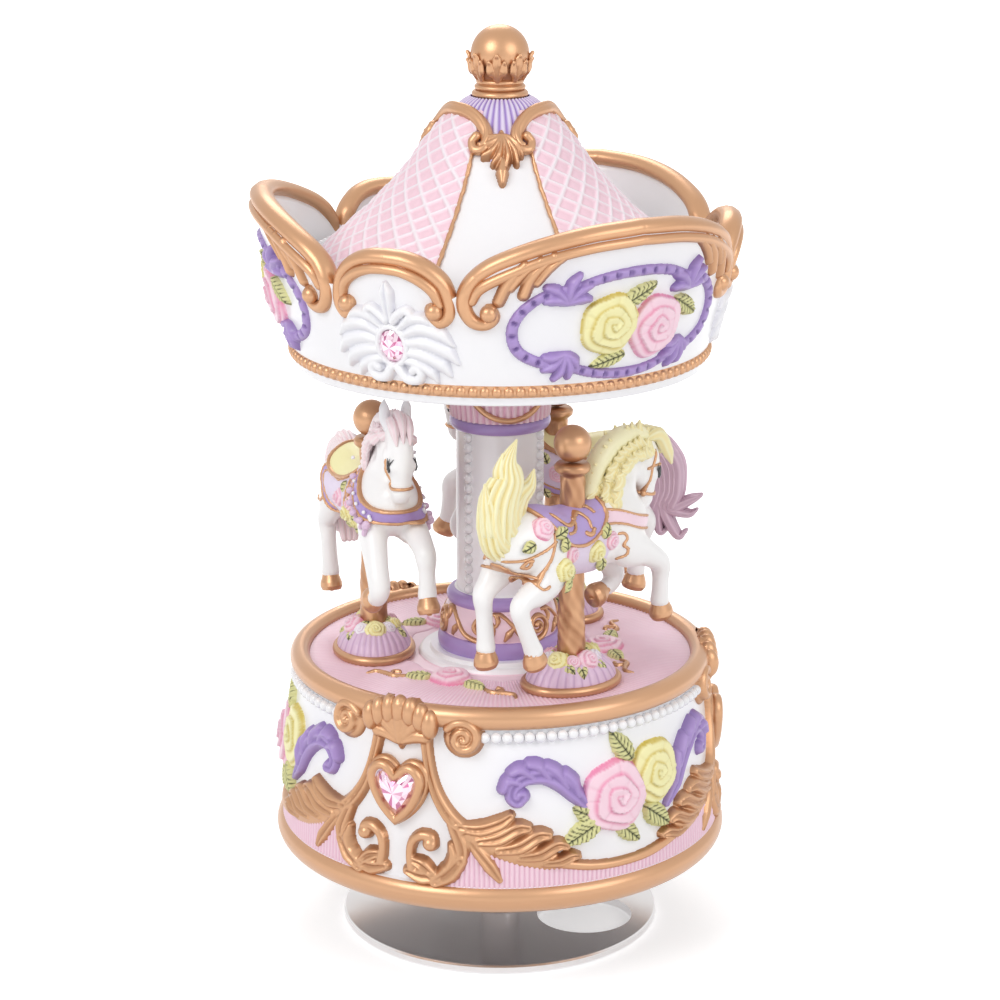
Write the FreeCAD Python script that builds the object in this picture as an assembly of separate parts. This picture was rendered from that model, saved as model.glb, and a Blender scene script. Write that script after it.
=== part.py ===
"""Wind-up carousel music box, 190 mm tall, in millimetres with +Z up.

The origin is the centre of the turntable disc's underside, on the table. The disc, its hub, the winding
shaft and the drive gear stand still; everything else turns about Z on them. Inside the drum an 18-note
movement is driven by the drive gear: drive gear - pin cylinder - worm wheel - worm and air brake.
An azimuth is counted in degrees from -Y towards +X. Roses and horses sit at 0, 120 and 240 degrees,
gem settings at 60, 180 and 300.
"""

import FreeCAD, Part
import math
import os

from FreeCAD import Vector

# ---------------------------------------------------------------- driving dimensions
FOLD = 3                    # the carousel repeats three times round its axis
RUN = 0.05                  # radial clearance of a turning fit
FIT = 0.15                  # radial clearance of a seated part

# turntable
disc_radius = 33.6
disc_thickness = 1.8
finger_hole_radius = 10.1
finger_hole_offset = 19.3
finger_hole_azimuth = 36.0
hub_radius = 4.2
foot_gap = 16.7             # from the disc's top to the drum's foot
hub_bore_depth = 7.5        # the winding shaft's seat in the hub
disc_screw_radius = 1.5
disc_screw_length = 6.0
disc_screw_head_radius = 3.0

# drum
drum_height = 40.5          # from foot to deck
foot_radius = 47.5
foot_inner_width = 4.1      # from the foot's outside to the opening for the cover
foot_height = 6.2           # the rounded band at the bottom
foot_band_proud = 2.1       # of the wall over it
wall_bulge = 0.69           # share of the wall's lean that is left at mid-height
wall_mid_height = 19.5      # where the wall's bulge is measured, over the drum's foot
wall_thickness = 1.8
deck_ledge = 3.0            # the ledge that carries the deck
rim_radius = 42.0           # middle of the rolled rim
rim_roll = 2.1
deck_thickness = 3.5
cover_thickness = 2.3
cover_recess = 0.3
cover_rebate = 1.0          # step in the wall that the cover rests against
cover_boss_radius = 3.0
cover_boss_length = 9.0
cover_boss_azimuth = 45.0
cover_screw_radius = 1.2
screw_head_radius = 2.5
screw_head_height = 1.4

# gems
heart_width = 8.8
heart_depth = 2.6           # from the seat to the table
heart_height_on_drum = 24.5 # over the foot
heart_border = 1.5
heart_seat_proud = 0.2      # of the wall at mid-height
oval_half_width = 2.5
oval_half_height = 3.25
oval_depth = 1.9
oval_height_on_crown = 11.8
oval_border = 0.8

# column
step_radius = 16.8
step_height = 1.0
plinth_radius = 14.8
plinth_height = 0.8
column_foot_radius = 12.8
column_foot_height = 3.3
scroll_band_height = 6.5
column_ring_radius = 10.8
column_ring_height = 2.6
shaft_radius = 9.1
column_height = 63.1        # from deck to canopy
capital_radius = 12.4
capital_height = 11.7
capital_ring_height = 2.6

# canopy
crown_foot_radius = 42.1
crown_wall = 2.8
crown_flare = 0.245         # gain of radius with height
crown_lip_height = 1.8
bead_band_height = 2.4
bead_band_proud = 0.9
rose_lobe_height = 34.6     # crest over the canopy's underside
rose_lobe_half_width = 38.0
heart_lobe_height = 29.4
heart_lobe_half_width = 13.6
valley_height = 22.6
ceiling_thickness = 2.6
roof_inset = 5.1            # from the crown's foot to the roof's
roof_base_height = 20.9
roof_wall = 2.2
roof_edge_drop = 1.8        # from the roof's foot to its edge at the crown
collar_radius = 7.7
collar_height = 52.1
collar_top_radius = 5.5
collar_rise = 1.3

# finial
cap_radius = 5.7
cap_height = 3.8
cup_neck_radius = 4.1
cup_radius = 6.2
cup_height = 5.6
ball_radius = 5.2
ball_drop = 0.1             # of the ball's middle under the cup's rim

# horses, poles and stands
stand_margin = 4.7          # from a stand to the deck's edge
horse_length = 56.0
horse_height = 31.0         # middle of the lowest horse's body over the deck
horse_turn = 15.0           # each horse is turned inwards about its pole
pole_radius = 2.5
pole_foot_radius = 2.9
pole_collar_radius = 3.9
pole_ball_radius = 3.8
pole_height = 54.5          # top of the ball over the deck
stand_half_length = 11.0
stand_half_width = 8.7
stand_rim_height = 2.0
stand_height = 6.8
stand_bore_depth = 4.0

# movement
bed_thickness = 2.0
bed_x = (-14.0, 35.2)
bed_y = (-20.0, 21.6)
bed_corner = 7.0
barrel_radius = 10.5
barrel_wall = 0.8
barrel_height = 12.0
barrel_flange_radius = 12.2
lid_thickness = 0.8
winding_shaft_radius = 1.8
spring_turns = 7
spring_thickness = 0.25
spring_width = 9.6
crown_teeth = 36
crown_outer_radius = 13.4
crown_inner_radius = 11.2
crown_disc_thickness = 1.6
crown_hole_count = 5        # lightening holes
crown_hole_radius = 1.9
crown_hole_circle = 6.4
lid_gap = 0.4
drive_pinion_teeth = 12
gear_module = 0.5
cylinder_gear_teeth = 26
wheel_pinion_teeth = 10
worm_wheel_teeth = 20
tooth_share = 0.42          # of the pitch; the rest is the gap, with its backlash
crown_tooth_share = 0.39
worm_wheel_tooth_share = 0.32
pressure_angle = 20.0
pinion_width = 1.8
gear_width = 1.2
worm_wheel_width = 1.0
post_thickness = 1.2
side_gap = 0.4              # between wheels and posts
arbor_radius = 0.9
drum_radius = 6.5
pin_height = 0.35
pin_width = 0.4
note_count = 18
note_pitch = 0.755
comb_gap = 0.1              # from the pins' tips to the comb's tips
comb_thickness = 0.8
comb_tooth_length = 8.5
comb_tooth_share = 0.7
comb_block_depth = 5.0
worm_pitch_radius = 1.4
worm_addendum = 0.5
worm_core_radius = 0.85
worm_thread_length = 5.6
worm_arbor_radius = 0.6
worm_bearing_depth = 0.9
bracket_thickness = 1.2
bracket_height = 21.2
bracket_reach = 6.4
bracket_width = 4.4
fan_radius = 5.4
fan_height = 4.4
fan_blade = 0.4
small_screw_radius = 0.8
small_screw_head_radius = 1.5
small_screw_head_height = 0.8

# ---------------------------------------------------------------- levels and places worked out from them
wall_foot_radius = foot_radius - foot_band_proud
wall_top_radius = rim_radius + 0.1 * rim_roll
wall_mid_radius = wall_top_radius + wall_bulge * (wall_foot_radius - wall_top_radius)
cavity_radius = wall_top_radius - wall_thickness
foot_inner_radius = foot_radius - foot_inner_width
cover_rebate_radius = cavity_radius + cover_rebate
cover_boss_offset = cavity_radius - cover_boss_radius + 0.2
deck_radius = rim_radius - rim_roll
neck_radius = deck_radius - deck_ledge
heart_seat_radius = wall_mid_radius + heart_seat_proud
horse_circle_radius = deck_radius - stand_half_width - stand_margin
horse_scale = horse_length / 56.0
roof_base_radius = crown_foot_radius - roof_inset

drum_bottom = disc_thickness + foot_gap
deck_top = drum_bottom + drum_height
cover_bottom = drum_bottom + cover_recess
cover_top = cover_bottom + cover_thickness
canopy_bottom = deck_top + column_height
column_bottom = deck_top + step_height + plinth_height
bead_bottom = canopy_bottom + crown_lip_height
bead_top = bead_bottom + bead_band_height
crown_inner_foot = crown_foot_radius - crown_wall

bed_bottom = cover_top
bed_top = bed_bottom + bed_thickness
barrel_top = bed_top + barrel_height
crown_disc_bottom = barrel_top + lid_thickness + lid_gap
crown_mean_radius = (crown_outer_radius + crown_inner_radius) / 2
drive_module = 2 * crown_mean_radius / crown_teeth
crown_pitch_z = crown_disc_bottom - 1.25 * drive_module
axle_z = crown_pitch_z - drive_module * drive_pinion_teeth / 2
crown_disc_top = crown_disc_bottom + crown_disc_thickness
pinion_x = crown_inner_radius
post_a_x = pinion_x + pinion_width + side_gap
gear_x = post_a_x + post_thickness + side_gap
worm_wheel_x = gear_x + gear_width + 2 * side_gap
drum_x = worm_wheel_x + worm_wheel_width + 2 * side_gap
drum_length = note_count * note_pitch
post_b_x = drum_x + drum_length + side_gap
post_c_x = worm_wheel_x + worm_wheel_width + side_gap
wheel_y = -gear_module * (cylinder_gear_teeth + wheel_pinion_teeth) / 2
worm_y = wheel_y - gear_module * worm_wheel_teeth / 2 - worm_pitch_radius
worm_x = worm_wheel_x + worm_wheel_width / 2
worm_pitch = math.pi * gear_module
comb_tip_y = drum_radius + pin_height + comb_gap
comb_root_y = comb_tip_y + comb_tooth_length
comb_back_y = comb_root_y + comb_block_depth
comb_bottom = axle_z - comb_thickness / 2
bracket_x = worm_x + bracket_reach
movement_screw_places = [(-10.0, -13.5), (-9.5, 15.0), (29.5, -15.0), (13.0, 17.6)]


# ---------------------------------------------------------------- helpers
def place(azimuth, radius=0.0, z=0.0):
    """The point at an azimuth, a radius and a height."""
    a = math.radians(azimuth)
    return Vector(radius * math.sin(a), -radius * math.cos(a), z)


def turned_to(shape, azimuth):
    """A copy of a shape made at azimuth 0, turned about Z to another azimuth."""
    copy = shape.copy()
    copy.rotate(Vector(0, 0, 0), Vector(0, 0, 1), azimuth)
    return copy


def three(shape, first=0.0):
    """A group of separate copies of a shape, one in each third of a turn."""
    return Part.makeCompound([turned_to(shape, first + k * 360.0 / FOLD) for k in range(FOLD)])


def fused(shapes):
    """One solid made of several."""
    whole = shapes[0].multiFuse(shapes[1:]) if len(shapes) > 1 else shapes[0]
    return whole.removeSplitter()


def grown(shapes):
    """One solid made by joining rounded shapes one after another."""
    whole = shapes[0]
    for shape in shapes[1:]:
        whole = whole.fuse(shape)
    return whole


def rod(radius, bottom, top, x=0.0, y=0.0):
    """An upright cylinder."""
    return Part.makeCylinder(radius, top - bottom, Vector(x, y, bottom))


def level_rod(radius, x0, x1, y, z):
    """A cylinder lying along X."""
    return Part.makeCylinder(radius, x1 - x0, Vector(x0, y, z), Vector(1, 0, 0))


def block(x0, x1, y0, y1, z0, z1):
    """A box between two corners."""
    return Part.makeBox(x1 - x0, y1 - y0, z1 - z0, Vector(x0, y0, z0))


def profile_face(points, lift):
    """A face from an outline: (u, v) ends a straight run, ((u, v), (u, v)) is an arc's middle and end."""
    def ends_at(p):
        return lift(*(p[1] if isinstance(p[0], tuple) else p))

    edges = []
    here = ends_at(points[0])
    for p in points[1:] + points[:1]:
        there = ends_at(p)
        if isinstance(p[0], tuple):
            edges.append(Part.Arc(here, lift(*p[0]), there).toShape())
        elif here.distanceToPoint(there) > 1e-6:
            edges.append(Part.LineSegment(here, there).toShape())
        here = there
    return Part.Face(Part.Wire(edges))


def turned(points, z=0.0):
    """A solid of revolution about Z from an outline of (radius, height)."""
    face = profile_face(points, lambda r, h: Vector(r, 0, z + h))
    return face.revolve(Vector(0, 0, 0), Vector(0, 0, 1), 360)


def oval(middle, across, up, half_across, half_up, points=8):
    """A closed smooth wire near an ellipse, started in the same direction whatever its proportions."""
    ring = []
    for k in range(points):
        a = 2 * math.pi * k / points
        ring.append(middle + across * (half_across * math.cos(a)) + up * (half_up * math.sin(a)))
    curve = Part.BSplineCurve()
    curve.interpolate(Points=ring, PeriodicFlag=True)
    return Part.Wire(curve.toShape())


def limb(stations):
    """A loft through ovals set square to a path. A station is (x, y, z, half depth, half width),
    as on a horse 56 mm long."""
    stations = [[size * horse_scale for size in station] for station in stations]
    path = [Vector(*station[:3]) for station in stations]
    wires = []
    for k, (x, y, z, depth, width) in enumerate(stations):
        ahead = path[min(k + 1, len(path) - 1)] - path[max(k - 1, 0)]
        ahead.normalize()
        side = Vector(0, 1, 0) - ahead * ahead.y
        side.normalize()
        wires.append(oval(path[k], side, ahead.cross(side), width, depth))
    return Part.makeLoft(wires, True, False)


def involute_gear(module, teeth, width, share, bore):
    """A spur gear on X from x = 0, its first tooth on +Z. Each flank is an involute in three flats."""
    pitch_r = module * teeth / 2
    base_r = pitch_r * math.cos(math.radians(pressure_angle))
    root_r = pitch_r - 1.15 * module
    tip_r = pitch_r + 0.95 * module
    start_r = max(base_r, root_r + 0.05 * module)

    def spread(r):
        roll = math.sqrt(max((r / base_r) ** 2 - 1, 0.0))
        return roll - math.atan(roll)

    half = share * math.pi / teeth
    outline = []
    for k in range(teeth):
        centre = 2 * math.pi * k / teeth
        radii = [start_r + (tip_r - start_r) * i / 3 for i in range(4)]
        flank = [(r, half + spread(pitch_r) - spread(r)) for r in radii]
        flank = [(root_r, flank[0][1])] + flank
        outline += [(r, centre - a) for r, a in flank] + [(r, centre + a) for r, a in reversed(flank)]
    corners = [Vector(0, r * math.sin(a), r * math.cos(a)) for r, a in outline]
    face = Part.Face(Part.makePolygon(corners + corners[:1]))
    gear = face.extrude(Vector(width, 0, 0))
    return gear.cut(level_rod(bore, -1, width + 1, 0, 0))


def moved(shape, x, y, z):
    """A copy of a shape moved by a vector."""
    copy = shape.copy()
    copy.translate(Vector(x, y, z))
    return copy


def tilted_out(shape, z):
    """A shape made against the plane y = 0, leaned outward with the crown's flare about the height z."""
    copy = shape.copy()
    copy.rotate(Vector(0, 0, z), Vector(1, 0, 0), math.degrees(math.atan(crown_flare)))
    return copy


# ---------------------------------------------------------------- turntable: the part that stands still
def turntable_disc():
    edge = 0.35
    disc = turned([(0, 0), (disc_radius - edge, 0), (disc_radius, edge),
                   (disc_radius, disc_thickness - edge), (disc_radius - edge, disc_thickness),
                   (0, disc_thickness)])
    hole = place(finger_hole_azimuth, finger_hole_offset)
    disc = disc.cut(rod(finger_hole_radius, -1, disc_thickness + 1, hole.x, hole.y))
    sink = Part.makeCone(disc_screw_head_radius, disc_screw_radius,
                         disc_screw_head_radius - disc_screw_radius)
    return disc.cut(sink).cut(rod(disc_screw_radius, -1, disc_thickness + 1))


def disc_screw():
    """The stud that holds the disc to its hub: a countersunk head ground flush with the disc."""
    return turned([(0, 0), (disc_screw_head_radius, 0),
                   (disc_screw_radius, disc_screw_head_radius - disc_screw_radius),
                   (disc_screw_radius, disc_thickness + disc_screw_length),
                   (0, disc_thickness + disc_screw_length)])


def hub_top():
    return bed_bottom - RUN


def spindle_hub():
    bevel = 0.4
    hub = turned([(0, 0), (hub_radius + 1.0, 0), (hub_radius + 1.0, 0.5), (hub_radius, 1.2),
                  (hub_radius, hub_top() - disc_thickness - bevel),
                  (hub_radius - bevel, hub_top() - disc_thickness), (0, hub_top() - disc_thickness)],
                 disc_thickness)
    hub = hub.cut(rod(disc_screw_radius, disc_thickness - 1, disc_thickness + disc_screw_length))
    return hub.cut(rod(winding_shaft_radius, hub_top() - hub_bore_depth, hub_top() + 1))


def clip_bottom():
    return crown_disc_top


def winding_shaft():
    top = clip_bottom() + 1.6
    groove = 0.5
    shaft = turned([(0, hub_top() - hub_bore_depth), (winding_shaft_radius, hub_top() - hub_bore_depth),
                    (winding_shaft_radius, clip_bottom()),
                    (winding_shaft_radius - groove, clip_bottom()),
                    (winding_shaft_radius - groove, clip_bottom() + 0.5),
                    (winding_shaft_radius, clip_bottom() + 0.5),
                    (winding_shaft_radius, top - 0.3), (winding_shaft_radius - 0.3, top), (0, top)])
    return shaft


def gear_clip():
    """A retaining ring in the shaft's groove, open on one side."""
    ring = rod(winding_shaft_radius + 1.2, clip_bottom(), clip_bottom() + 0.5)
    ring = ring.cut(rod(winding_shaft_radius - 0.5, clip_bottom() - 1, clip_bottom() + 1))
    return ring.cut(block(0, winding_shaft_radius + 2, -0.8, 0.8, clip_bottom() - 1, clip_bottom() + 1))


def drive_gear():
    """A crown gear: a disc on the shaft with radial teeth that hang down over the barrel's edge."""
    disc = turned([(winding_shaft_radius, 0), (crown_outer_radius, 0),
                   (crown_outer_radius, crown_disc_thickness), (winding_shaft_radius, crown_disc_thickness)],
                  crown_disc_bottom)
    pitch = 2 * math.pi * crown_mean_radius / crown_teeth
    reach = 0.95 * drive_module
    lean = math.tan(math.radians(pressure_angle))
    half = crown_tooth_share * pitch / 2
    root = crown_disc_bottom - crown_pitch_z

    def section(x):
        return Part.makePolygon([Vector(x, y, z) for y, z in (
            (-half - root * lean, crown_disc_bottom), (-half + reach * lean, crown_pitch_z - reach),
            (half - reach * lean, crown_pitch_z - reach), (half + root * lean, crown_disc_bottom),
            (-half - root * lean, crown_disc_bottom))])

    tooth = Part.Face(section(crown_inner_radius)).extrude(
        Vector(crown_outer_radius - crown_inner_radius - 0.1, 0, 0))
    teeth = []
    for k in range(crown_teeth):
        copy = tooth.copy()
        copy.rotate(Vector(0, 0, 0), Vector(0, 0, 1), (k + 0.5) * 360.0 / crown_teeth)
        teeth.append(copy)
    holes = []
    for k in range(crown_hole_count):
        at = place(360.0 * k / crown_hole_count, crown_hole_circle)
        holes.append(rod(crown_hole_radius, crown_disc_bottom - 1, crown_disc_top + 1, at.x, at.y))
    return fused([disc] + teeth).cut(Part.makeCompound(holes))


# ---------------------------------------------------------------- drum
def heart_outline(width, lift):
    """A heart's wire about the point (0, 0), drawn by four arcs."""
    h = width / 2
    tip = -1.15 * h
    points = [(0.0, tip), ((0.72 * h, -0.42 * h), (h, 0.42 * h)), ((0.52 * h, 1.02 * h), (0.0, 0.55 * h)),
              ((-0.52 * h, 1.02 * h), (-h, 0.42 * h)), ((-0.72 * h, -0.42 * h), (0.0, tip))]
    return profile_face(points[:-1] + [points[-1]], lift).OuterWire


def heart_centre_z():
    return drum_bottom + heart_height_on_drum


def heart_at(width, y):
    return heart_outline(width, lambda u, v: Vector(u, y, heart_centre_z() + v))


def heart_setting():
    """The raised heart frame on the drum at azimuth 0, still without its seat."""
    y0 = -(wall_top_radius - 1.0)
    y1 = -(heart_seat_radius + heart_depth * 0.55)
    return Part.makeLoft([heart_at(heart_width + 3 * heart_border, y0),
                          heart_at(heart_width + 1.6 * heart_border, y1)], True, True)


def heart_seat():
    face = Part.Face(heart_at(heart_width, -heart_seat_radius))
    return face.extrude(Vector(0, -2 * heart_depth, 0))


def heart_gem():
    """A flat-backed rhinestone: a straight girdle and a bevelled crown."""
    girdle = heart_depth * 0.5
    bottom = Part.Face(heart_at(heart_width, -heart_seat_radius)).extrude(Vector(0, -girdle, 0))
    crown = Part.makeLoft([heart_at(heart_width, -heart_seat_radius - girdle),
                           heart_at(0.62 * heart_width, -heart_seat_radius - heart_depth)], True, True)
    return fused([bottom, crown])


def cover_boss():
    at = place(0, cover_boss_offset)
    return rod(cover_boss_radius, cover_top, cover_top + cover_boss_length, at.x, at.y)


def base_drum():
    """The cast shell: rounded foot, leaning wall and rolled rim, hollow for the movement."""
    top = drum_height
    floor = deck_top - deck_thickness - drum_bottom
    shell = turned([(foot_inner_radius, 0), ((foot_radius - 1.2, foot_height * 0.18), (foot_radius, foot_height * 0.6)),
                    ((foot_radius - 0.55, foot_height * 0.86), (wall_foot_radius, foot_height)),
                    ((wall_mid_radius, wall_mid_height), (wall_top_radius, top - 2.6)),
                    ((rim_radius + rim_roll, top), (rim_radius, top + rim_roll)),
                    ((rim_radius - rim_roll * 0.72, top + rim_roll * 0.7), (deck_radius + FIT, top)),
                    (deck_radius + FIT, floor), (neck_radius, floor), (neck_radius, floor - 2.0),
                    (cavity_radius - 2.0, floor - 6.0), (cavity_radius, floor - 16.0),
                    (cavity_radius, cover_top - drum_bottom),
                    (cover_rebate_radius, cover_top - drum_bottom), (cover_rebate_radius, 0)],
                   drum_bottom)
    settings = [turned_to(heart_setting(), 60 + 120 * k) for k in range(FOLD)]
    bosses = [turned_to(cover_boss(), cover_boss_azimuth + 120 * k) for k in range(FOLD)]
    drum = fused([shell] + settings + bosses)
    seats = three(heart_seat(), 60)
    pilots = [rod(cover_screw_radius, cover_top - 1, cover_top + cover_boss_length - 1.5, p.x, p.y)
              for p in cover_screw_places()]
    return drum.cut(Part.makeCompound([seats] + pilots))


def cover_screw_places():
    return [place(cover_boss_azimuth + 120 * k, cover_boss_offset) for k in range(FOLD)]


def screw(bottom, thread_top, head_radius, head_height, radius, x, y):
    """A slotted pan-head screw standing on its head."""
    round_over = head_height * 0.45
    body = turned([(0, -head_height), (head_radius - round_over, -head_height),
                   (head_radius, -head_height + round_over), (head_radius, 0), (radius, 0),
                   (radius, thread_top - bottom - 0.4), (radius - 0.4, thread_top - bottom),
                   (0, thread_top - bottom)], bottom)
    slot = block(-head_radius, head_radius, -0.3, 0.3, bottom - head_height - 1, bottom - head_height * 0.55)
    return moved(body.cut(slot), x, y, 0)


def cover_screws():
    top = cover_top + cover_boss_length - 2.0
    return Part.makeCompound([screw(cover_bottom, top, screw_head_radius, screw_head_height,
                                    cover_screw_radius, p.x, p.y) for p in cover_screw_places()])


def bottom_cover():
    cover = rod(cover_rebate_radius - FIT, cover_bottom, cover_top)
    holes = [rod(hub_radius + 0.4, cover_bottom - 1, cover_top + 1)]
    holes += [rod(cover_screw_radius, cover_bottom - 1, cover_top + 1, p.x, p.y) for p in cover_screw_places()]
    holes += [rod(small_screw_radius, cover_bottom - 1, cover_top + 1, x, y) for x, y in movement_screw_places]
    return cover.cut(Part.makeCompound(holes))


def deck():
    """The round deck with its raised, stepped middle."""
    step = deck_thickness + step_height
    plate = turned([(0, 0), (deck_radius, 0), (deck_radius, deck_thickness), (step_radius + 0.4, deck_thickness),
                    (step_radius, step - 0.3), (step_radius - 0.4, step), (plinth_radius, step),
                    (plinth_radius - 0.3, step + plinth_height), (0, step + plinth_height)],
                   deck_top - deck_thickness)
    return plate


# ---------------------------------------------------------------- movement
def winding_bore(shape, bottom, top):
    return shape.cut(rod(winding_shaft_radius + RUN, bottom - 1, top + 1))


def post(x, y0, y1, top):
    return block(x, x + post_thickness, y0, y1, bed_top, top)


def movement_frame():
    """One casting: bedplate with cut corners, three bearing posts and the land that carries the comb."""
    x0, x1 = bed_x
    y0, y1 = bed_y
    c = bed_corner
    outline = [(x0 + c, y0), (x1 - c, y0), (x1, y0 + c), (x1, y1 - c), (x1 - c * 0.4, y1),
               (x0 + c, y1), (x0, y1 - c), (x0, y0 + c)]
    bed = profile_face(outline, lambda x, y: Vector(x, y, bed_bottom)).extrude(Vector(0, 0, bed_thickness))
    head = axle_z + arbor_radius + 1.6
    land_x0 = drum_x - 0.8
    land = block(land_x0, drum_x + drum_length + 0.6, comb_root_y, comb_back_y + 0.6, bed_top, comb_bottom)
    posts = [post(post_a_x, wheel_y - 2.4, 2.6, head), post(post_b_x, -3.0, 3.0, head),
             post(post_c_x, wheel_y - 2.0, wheel_y + 1.7, head)]
    frame = fused([bed, land] + posts)
    r = arbor_radius + RUN
    bores = [level_rod(r, post_a_x - 1, post_b_x + post_thickness + 1, 0, axle_z),
             level_rod(r, post_a_x - 1, post_c_x + post_thickness + 1, wheel_y, axle_z)]
    bores += [rod(small_screw_radius, bed_bottom - 1, bed_top + 1, x, y) for x, y in movement_screw_places]
    bores += [rod(small_screw_radius, comb_bottom - 3.4, comb_bottom + 1, x, comb_screw_y())
              for x in comb_screw_xs()]
    bores.append(rod(small_screw_radius, bed_bottom - 1, bed_top + 1, bracket_screw_x(), worm_y))
    return winding_bore(frame.cut(Part.makeCompound(bores)), bed_bottom, bed_top)


def movement_screws():
    return Part.makeCompound([screw(cover_bottom, bed_top, small_screw_head_radius, small_screw_head_height,
                                    small_screw_radius, x, y) for x, y in movement_screw_places])


def spring_barrel():
    """A drawn can with a flange, open at the top for its lid."""
    can = turned([(winding_shaft_radius + RUN, 0), (barrel_flange_radius, 0), (barrel_flange_radius, barrel_wall),
                  (barrel_radius, barrel_wall), (barrel_radius, barrel_height),
                  (barrel_radius - barrel_wall, barrel_height), (barrel_radius - barrel_wall, barrel_wall),
                  (winding_shaft_radius + RUN, barrel_wall)], bed_top)
    return can


def barrel_lid():
    lid = turned([(winding_shaft_radius + RUN, 0), (barrel_radius - 0.3, 0), (barrel_radius, 0.3),
                  (barrel_radius, lid_thickness), (winding_shaft_radius + RUN, lid_thickness)], barrel_top)
    rim = rod(barrel_radius, barrel_top, barrel_top + 0.3).cut(rod(barrel_radius - 0.3, barrel_top - 1, barrel_top + 1))
    return fused([lid, rim])


def mainspring():
    """A ribbon wound from the shaft out to the barrel, drawn in half turns."""
    inner = winding_shaft_radius + 0.35
    outer = barrel_radius - barrel_wall
    growth = (outer - spring_thickness - inner) / (2 * spring_turns)
    z = bed_top + barrel_wall + 0.6

    def half_turns(start):
        arcs, radius, side, x = [], start, 1, start
        for _ in range(2 * spring_turns):
            radius_next = radius + growth
            far = x - side * (radius + radius_next)
            middle = (x + far) / 2
            arcs.append((Vector(x, 0, z), Vector(middle, side * abs(x - middle), z), Vector(far, 0, z)))
            x, side, radius = far, -side, radius_next
        return arcs

    inside, outside = half_turns(inner), half_turns(inner + spring_thickness)
    edges = [Part.Arc(*a).toShape() for a in inside]
    edges.append(Part.LineSegment(inside[-1][2], outside[-1][2]).toShape())
    edges += [Part.Arc(c, b, a).toShape() for a, b, c in reversed(outside)]
    edges.append(Part.LineSegment(outside[0][0], inside[0][0]).toShape())
    return Part.Face(Part.Wire(edges)).extrude(Vector(0, 0, spring_width))


def pin_cylinder():
    """The drum with its pins, three to a note, set in a fixed pattern."""
    drum = level_rod(drum_radius, drum_x, drum_x + drum_length, 0, axle_z)
    drum = drum.cut(level_rod(arbor_radius, drum_x - 1, drum_x + drum_length + 1, 0, axle_z))
    pins = []
    for note in range(note_count):
        x = drum_x + (note + 0.5) * note_pitch
        for beat in range(3):
            angle = (note * 47 + beat * 113 + note * beat * 31) % 360
            pin = block(x - pin_width / 2, x + pin_width / 2, -pin_width / 2, pin_width / 2,
                        axle_z + drum_radius - 0.4, axle_z + drum_radius + pin_height)
            pin.rotate(Vector(0, 0, axle_z), Vector(1, 0, 0), angle)
            pins.append(pin)
    return fused([drum] + pins)


def cylinder_arbor():
    return level_rod(arbor_radius, pinion_x, post_b_x + post_thickness + 0.3, 0, axle_z)


def drive_pinion():
    gear = involute_gear(drive_module, drive_pinion_teeth, pinion_width, crown_tooth_share, arbor_radius)
    return moved(gear, pinion_x, 0, axle_z)


def cylinder_gear():
    gear = involute_gear(gear_module, cylinder_gear_teeth, gear_width, tooth_share, arbor_radius)
    phase = 90.0 % (360.0 / cylinder_gear_teeth)
    gear.rotate(Vector(0, 0, 0), Vector(1, 0, 0), phase)
    return moved(gear, gear_x, 0, axle_z)


def wheel_arbor():
    return level_rod(arbor_radius, post_a_x, post_c_x + post_thickness + 0.3, wheel_y, axle_z)


def wheel_pinion():
    """Its teeth stand so that a gap faces the cylinder gear's tooth on +Y."""
    gear = involute_gear(gear_module, wheel_pinion_teeth, gear_width, tooth_share, arbor_radius)
    step = 360.0 / wheel_pinion_teeth
    gear.rotate(Vector(0, 0, 0), Vector(1, 0, 0), 90.0 % step + step / 2)
    return moved(gear, gear_x, wheel_y, axle_z)


def worm_wheel():
    gear = involute_gear(gear_module, worm_wheel_teeth, worm_wheel_width, worm_wheel_tooth_share, arbor_radius)
    return moved(gear, worm_wheel_x, wheel_y, axle_z)


def worm_shaft():
    """A single-start worm cut on its arbor: a core with a helical thread of trapezoid section."""
    bottom = axle_z - worm_thread_length / 2
    outer = worm_pitch_radius + worm_addendum
    root = worm_core_radius - 0.1
    lean = math.tan(math.radians(pressure_angle))
    half = tooth_share * worm_pitch / 2
    foot, tip = half + (worm_pitch_radius - root) * lean, half - worm_addendum * lean
    helix = Part.makeHelix(worm_pitch, worm_thread_length - worm_pitch / 2, worm_pitch_radius)
    section = Part.makePolygon([Vector(root, 0, -foot), Vector(outer, 0, -tip), Vector(outer, 0, tip),
                                Vector(root, 0, foot), Vector(root, 0, -foot)])
    thread = Part.Wire(helix.Edges).makePipeShell([section], True, True)
    start = bottom + worm_pitch / 4
    thread.translate(Vector(0, 0, start))
    in_mesh = 360.0 * ((start - axle_z) / worm_pitch - 0.25)    # a gap faces the worm wheel's tooth
    core = rod(worm_core_radius, bottom - worm_pitch / 2, bottom + worm_thread_length + worm_pitch / 2)
    arbor = rod(worm_arbor_radius, bed_top + bracket_thickness - worm_bearing_depth,
                bracket_top() - bracket_thickness + worm_bearing_depth)
    worm = fused([core, arbor, thread])
    worm.rotate(Vector(0, 0, 0), Vector(0, 0, 1), in_mesh)
    return moved(worm, worm_x, worm_y, 0)


def bracket_top():
    return bed_top + bracket_height


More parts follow.
